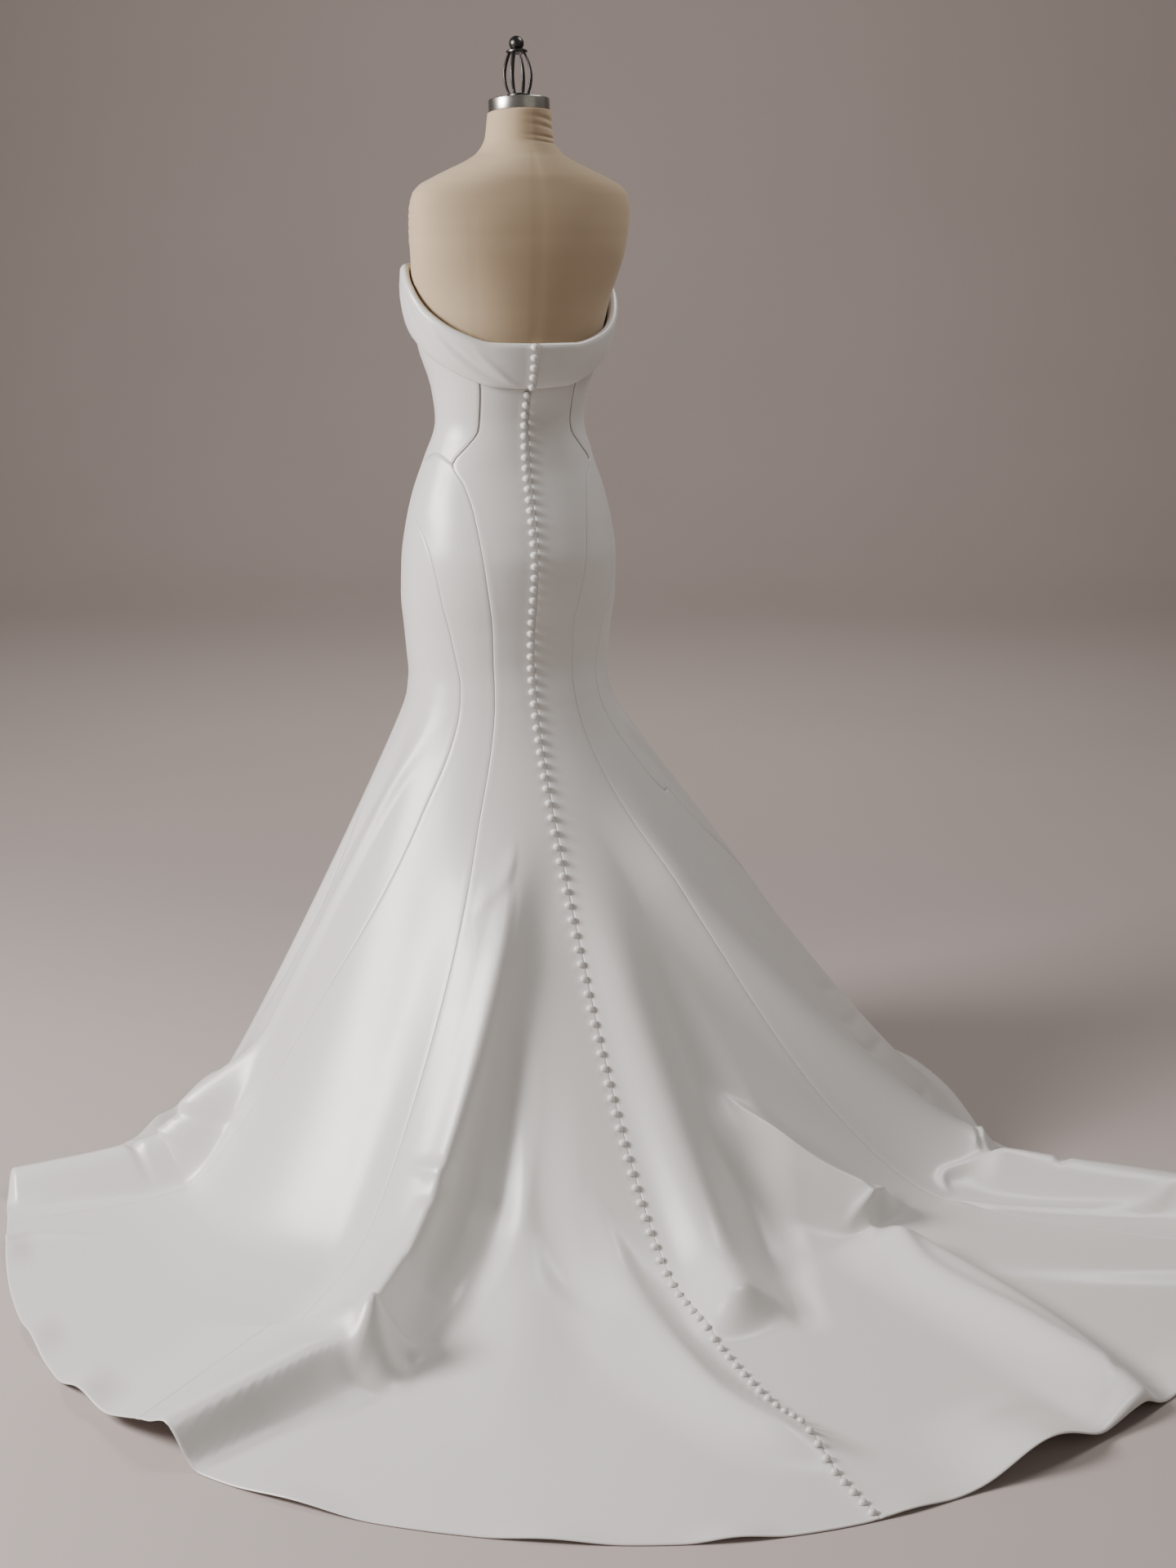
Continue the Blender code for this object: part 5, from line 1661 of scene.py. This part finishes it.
@dataclass
class CageFinial:
    """Ring, bars that bulge up to a collar, and a ball."""

    cap: NeckCap
    bars: int = 8
    bar_radius: float = 0.0021
    base_radius: float = 0.0170
    collar_radius: float = 0.0150
    bulge: float = 0.0085
    bar_height: float = 0.060
    ball_radius: float = 0.0112
    ring_height: float = 0.005

    def turned(self, bm: bmesh.types.BMesh, profile: Sequence[tuple[float, float]]) -> None:
        """Spins a profile of (radius, height) pairs into a closed body."""
        verts = [bm.verts.new((r, 0.0, z)) for r, z in profile]
        edges = [bm.edges.new(pair) for pair in zip(verts, verts[1:])]
        bmesh.ops.spin(
            bm, geom=verts + edges, cent=(0, 0, 0), axis=(0, 0, 1), angle=TAU, steps=40, use_merge=True
        )

    def bar(self, bm: bmesh.types.BMesh, turn: float) -> None:
        """Adds one bent bar at a turn round the axis."""
        steps = 16
        sides = 8
        spots = []
        for k in range(steps + 1):
            share = k / steps
            out = self.base_radius - 0.003 + (self.collar_radius - self.base_radius) * share
            out += self.bulge * math.sin(math.pi * min(1.0, share * 1.02)) ** 0.9
            height = self.ring_height - 0.002 + (self.bar_height + 0.004) * share
            spots.append(Vector((math.cos(turn) * out, math.sin(turn) * out, height)))
        ring = bmesh.ops.create_circle(bm, segments=sides, radius=self.bar_radius)["verts"]
        loop = list({edge for vert in ring for edge in vert.link_edges})
        bmesh.ops.translate(bm, verts=ring, vec=spots[0])
        for here, ahead in zip(spots, spots[1:]):
            grown = bmesh.ops.extrude_edge_only(bm, edges=loop)["geom"]
            ring = [g for g in grown if isinstance(g, bmesh.types.BMVert)]
            loop = [g for g in grown if isinstance(g, bmesh.types.BMEdge)]
            bmesh.ops.translate(bm, verts=ring, vec=ahead - here)

    def build(self, iron: bpy.types.Material) -> None:
        """Makes the finial as one piece."""
        bm = bmesh.new()
        collar = self.ring_height + self.bar_height
        middle = collar + 0.004 + self.ball_radius * 0.9
        self.turned(
            bm,
            (
                (0.0, 0.0),
                (self.base_radius, 0.0),
                (self.base_radius + 0.001, self.ring_height * 0.5),
                (self.base_radius, self.ring_height),
                (0.0, self.ring_height),
            ),
        )
        turns = [math.pi * k / 20 for k in range(5, 21)]
        ball = [(self.ball_radius * math.sin(t), middle - self.ball_radius * math.cos(t)) for t in turns]
        self.turned(
            bm,
            (
                (0.0, collar),
                (self.collar_radius - 0.001, collar),
                (self.collar_radius + 0.001, collar + 0.0012),
                (self.collar_radius + 0.001, collar + 0.0032),
                (self.collar_radius - 0.002, collar + 0.005),
                *ball,
            ),
        )
        for n in range(self.bars):
            self.bar(bm, TAU * n / self.bars)
        bmesh.ops.remove_doubles(bm, verts=bm.verts, dist=0.000001)
        bmesh.ops.recalc_face_normals(bm, faces=bm.faces)
        lift = Matrix.Translation((0.0, 0.0, self.cap.height + 0.0023))
        bmesh.ops.transform(bm, matrix=self.cap.place() @ lift, verts=bm.verts)
        piece = finish_piece("wire_finial", bm, iron, ["cage_finial"])
        piece.data.set_sharp_from_angle(angle=math.radians(50))


@dataclass
class Stand:
    """The pole and base under the skirt, kept as they were built."""

    def dress(self, wardrobe: Wardrobe) -> None:
        """Gives both their metal."""
        for node, material in (("stand_pole", wardrobe.steel), ("stand_base", wardrobe.iron)):
            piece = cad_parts[node]
            piece.data.materials.clear()
            piece.data.materials.append(material)


@dataclass
class Studio:
    """Plain pale floor and backdrop, soft lights, and the camera."""

    eye: tuple[float, float, float] = (1.16485, 3.26035, 1.48)
    turn: float = math.radians(21.7)
    tilt: float = math.radians(14.3)
    lens: float = 50.0
    sensor: float = 36.0
    floor_colour: tuple[float, float, float, float] = (0.47, 0.405, 0.385, 1.0)
    floor_shade: tuple[float, float, float, float] = (0.43, 0.37, 0.35, 1.0)
    floor_width: float = 30.0
    floor_run: float = 26.0
    floor_behind_camera: float = 14.0
    level_run: float = 5.2
    bend_radius: float = 2.2

    def level_frame(self) -> tuple[Vector, Vector]:
        """The camera's right and forward directions, both level."""
        right = Vector((-math.cos(self.turn), math.sin(self.turn), 0.0))
        ahead = Vector((-math.sin(self.turn), -math.cos(self.turn), 0.0))
        return right, ahead

    def add_camera(self) -> None:
        """Makes the camera at the viewing angle."""
        right, ahead = self.level_frame()
        look = ahead * math.cos(self.tilt) - Vector((0.0, 0.0, math.sin(self.tilt)))
        up = right.cross(look)
        place = Matrix((right, up, -look)).transposed().to_4x4()
        place.translation = self.eye
        data = bpy.data.cameras.new("camera")
        data.lens = self.lens
        data.sensor_width = self.sensor
        camera = bpy.data.objects.new("camera", data)
        camera.matrix_world = place
        bpy.context.scene.collection.objects.link(camera)
        bpy.context.scene.camera = camera

    def add_floor(self) -> None:
        """Makes a floor that curves up into a backdrop far behind the dress."""
        right, ahead = self.level_frame()
        bm = bmesh.new()
        bmesh.ops.create_grid(bm, x_segments=8, y_segments=60, size=0.5)
        flat = self.level_run
        radius = self.bend_radius
        for vert in bm.verts:
            across = vert.co.x * self.floor_width
            run = (vert.co.y + 0.5) * self.floor_run - self.floor_behind_camera
            bend = min(max(run - flat, 0.0) / radius, math.pi / 2)
            depth = min(run, flat) + radius * math.sin(bend)
            height = radius * (1 - math.cos(bend)) + max(0.0, run - flat - radius * math.pi / 2)
            vert.co = right * across + ahead * depth + Vector((0.0, 0.0, height))
        mesh = bpy.data.meshes.new("floor")
        bm.to_mesh(mesh)
        bm.free()
        mesh.shade_smooth()
        graph = Graph("floor_paint")
        where = graph.add("ShaderNodeTexCoord", {}, {}, "Object")
        mottle = graph.add("ShaderNodeTexNoise", {}, {"Vector": where, "Scale": 1.2, "Detail": 5.0}, "Fac")
        graph.feed("Base Color", graph.mix(mottle, self.floor_colour, self.floor_shade))
        graph.set({"Roughness": 0.75})
        mesh.materials.append(graph.material)
        floor = bpy.data.objects.new("floor", mesh)
        bpy.context.scene.collection.objects.link(floor)

    def add_light(
        self,
        name: str,
        spot: Vector,
        aim: Vector,
        size: float,
        power: float,
        colour: tuple[float, float, float],
    ) -> None:
        """Adds one square soft light.

        Args:
            name: The light's name.
            spot: Where it stands.
            aim: Where it points.
            size: Its side in metres.
            power: Its power in watts.
            colour: Its colour.
        """
        data = bpy.data.lights.new(name, "AREA")
        data.size = size
        data.energy = power
        data.color = colour
        lamp = bpy.data.objects.new(name, data)
        lamp.location = spot
        lamp.rotation_euler = (aim - spot).to_track_quat("-Z", "Y").to_euler()
        bpy.context.scene.collection.objects.link(lamp)

    def add_lights(self) -> None:
        """A key from the upper left, weaker ones from above and the right, and a pale surround."""
        right, ahead = self.level_frame()
        up = Vector((0.0, 0.0, 1.0))
        aim = Vector((0.1, 0.4, 0.6))
        warm = (1.0, 0.94, 0.88)
        white = (1.0, 0.98, 0.97)
        self.add_light("key", aim - right * 3.1 - ahead * 1.0 + up * 1.8, aim, 1.3, 250.0, white)
        self.add_light("top", aim + right * 1.6 + ahead * 0.8 + up * 3.2, aim, 1.2, 50.0, white)
        self.add_light("backdrop", ahead * 2.5 + up * 3.2, ahead * 8.0 + up * 1.0, 2.5, 70.0, warm)
        self.add_light("fill", aim + right * 2.6 - ahead * 2.6 + up * 1.6, aim, 3.0, 6.0, warm)
        world = bpy.data.worlds.new("surround")
        world.use_nodes = True
        ground = world.node_tree.nodes["Background"]
        ground.inputs["Color"].default_value = (1.0, 0.92, 0.85, 1.0)
        ground.inputs["Strength"].default_value = 0.16
        bpy.context.scene.world = world


def main() -> None:
    """Builds the studio, the stand, the form and the gown in order."""
    logging.basicConfig(level=logging.INFO, format="%(message)s")
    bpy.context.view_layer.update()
    studio = Studio()
    studio.add_camera()
    studio.add_floor()
    studio.add_lights()
    wardrobe = Wardrobe()
    shape = GownShape()
    Gown(shape).build(wardrobe.satin)
    band = FoldedBand(shape)
    band.build(wardrobe.satin)
    CoveredButtons(shape).build(wardrobe.satin, band)
    cap = NeckCap()
    DressForm(shape, cap).build(wardrobe.linen)
    cap.build(wardrobe.steel)
    CageFinial(cap).build(wardrobe.iron)
    Stand().dress(wardrobe)


if __name__ == "__main__":
    main()
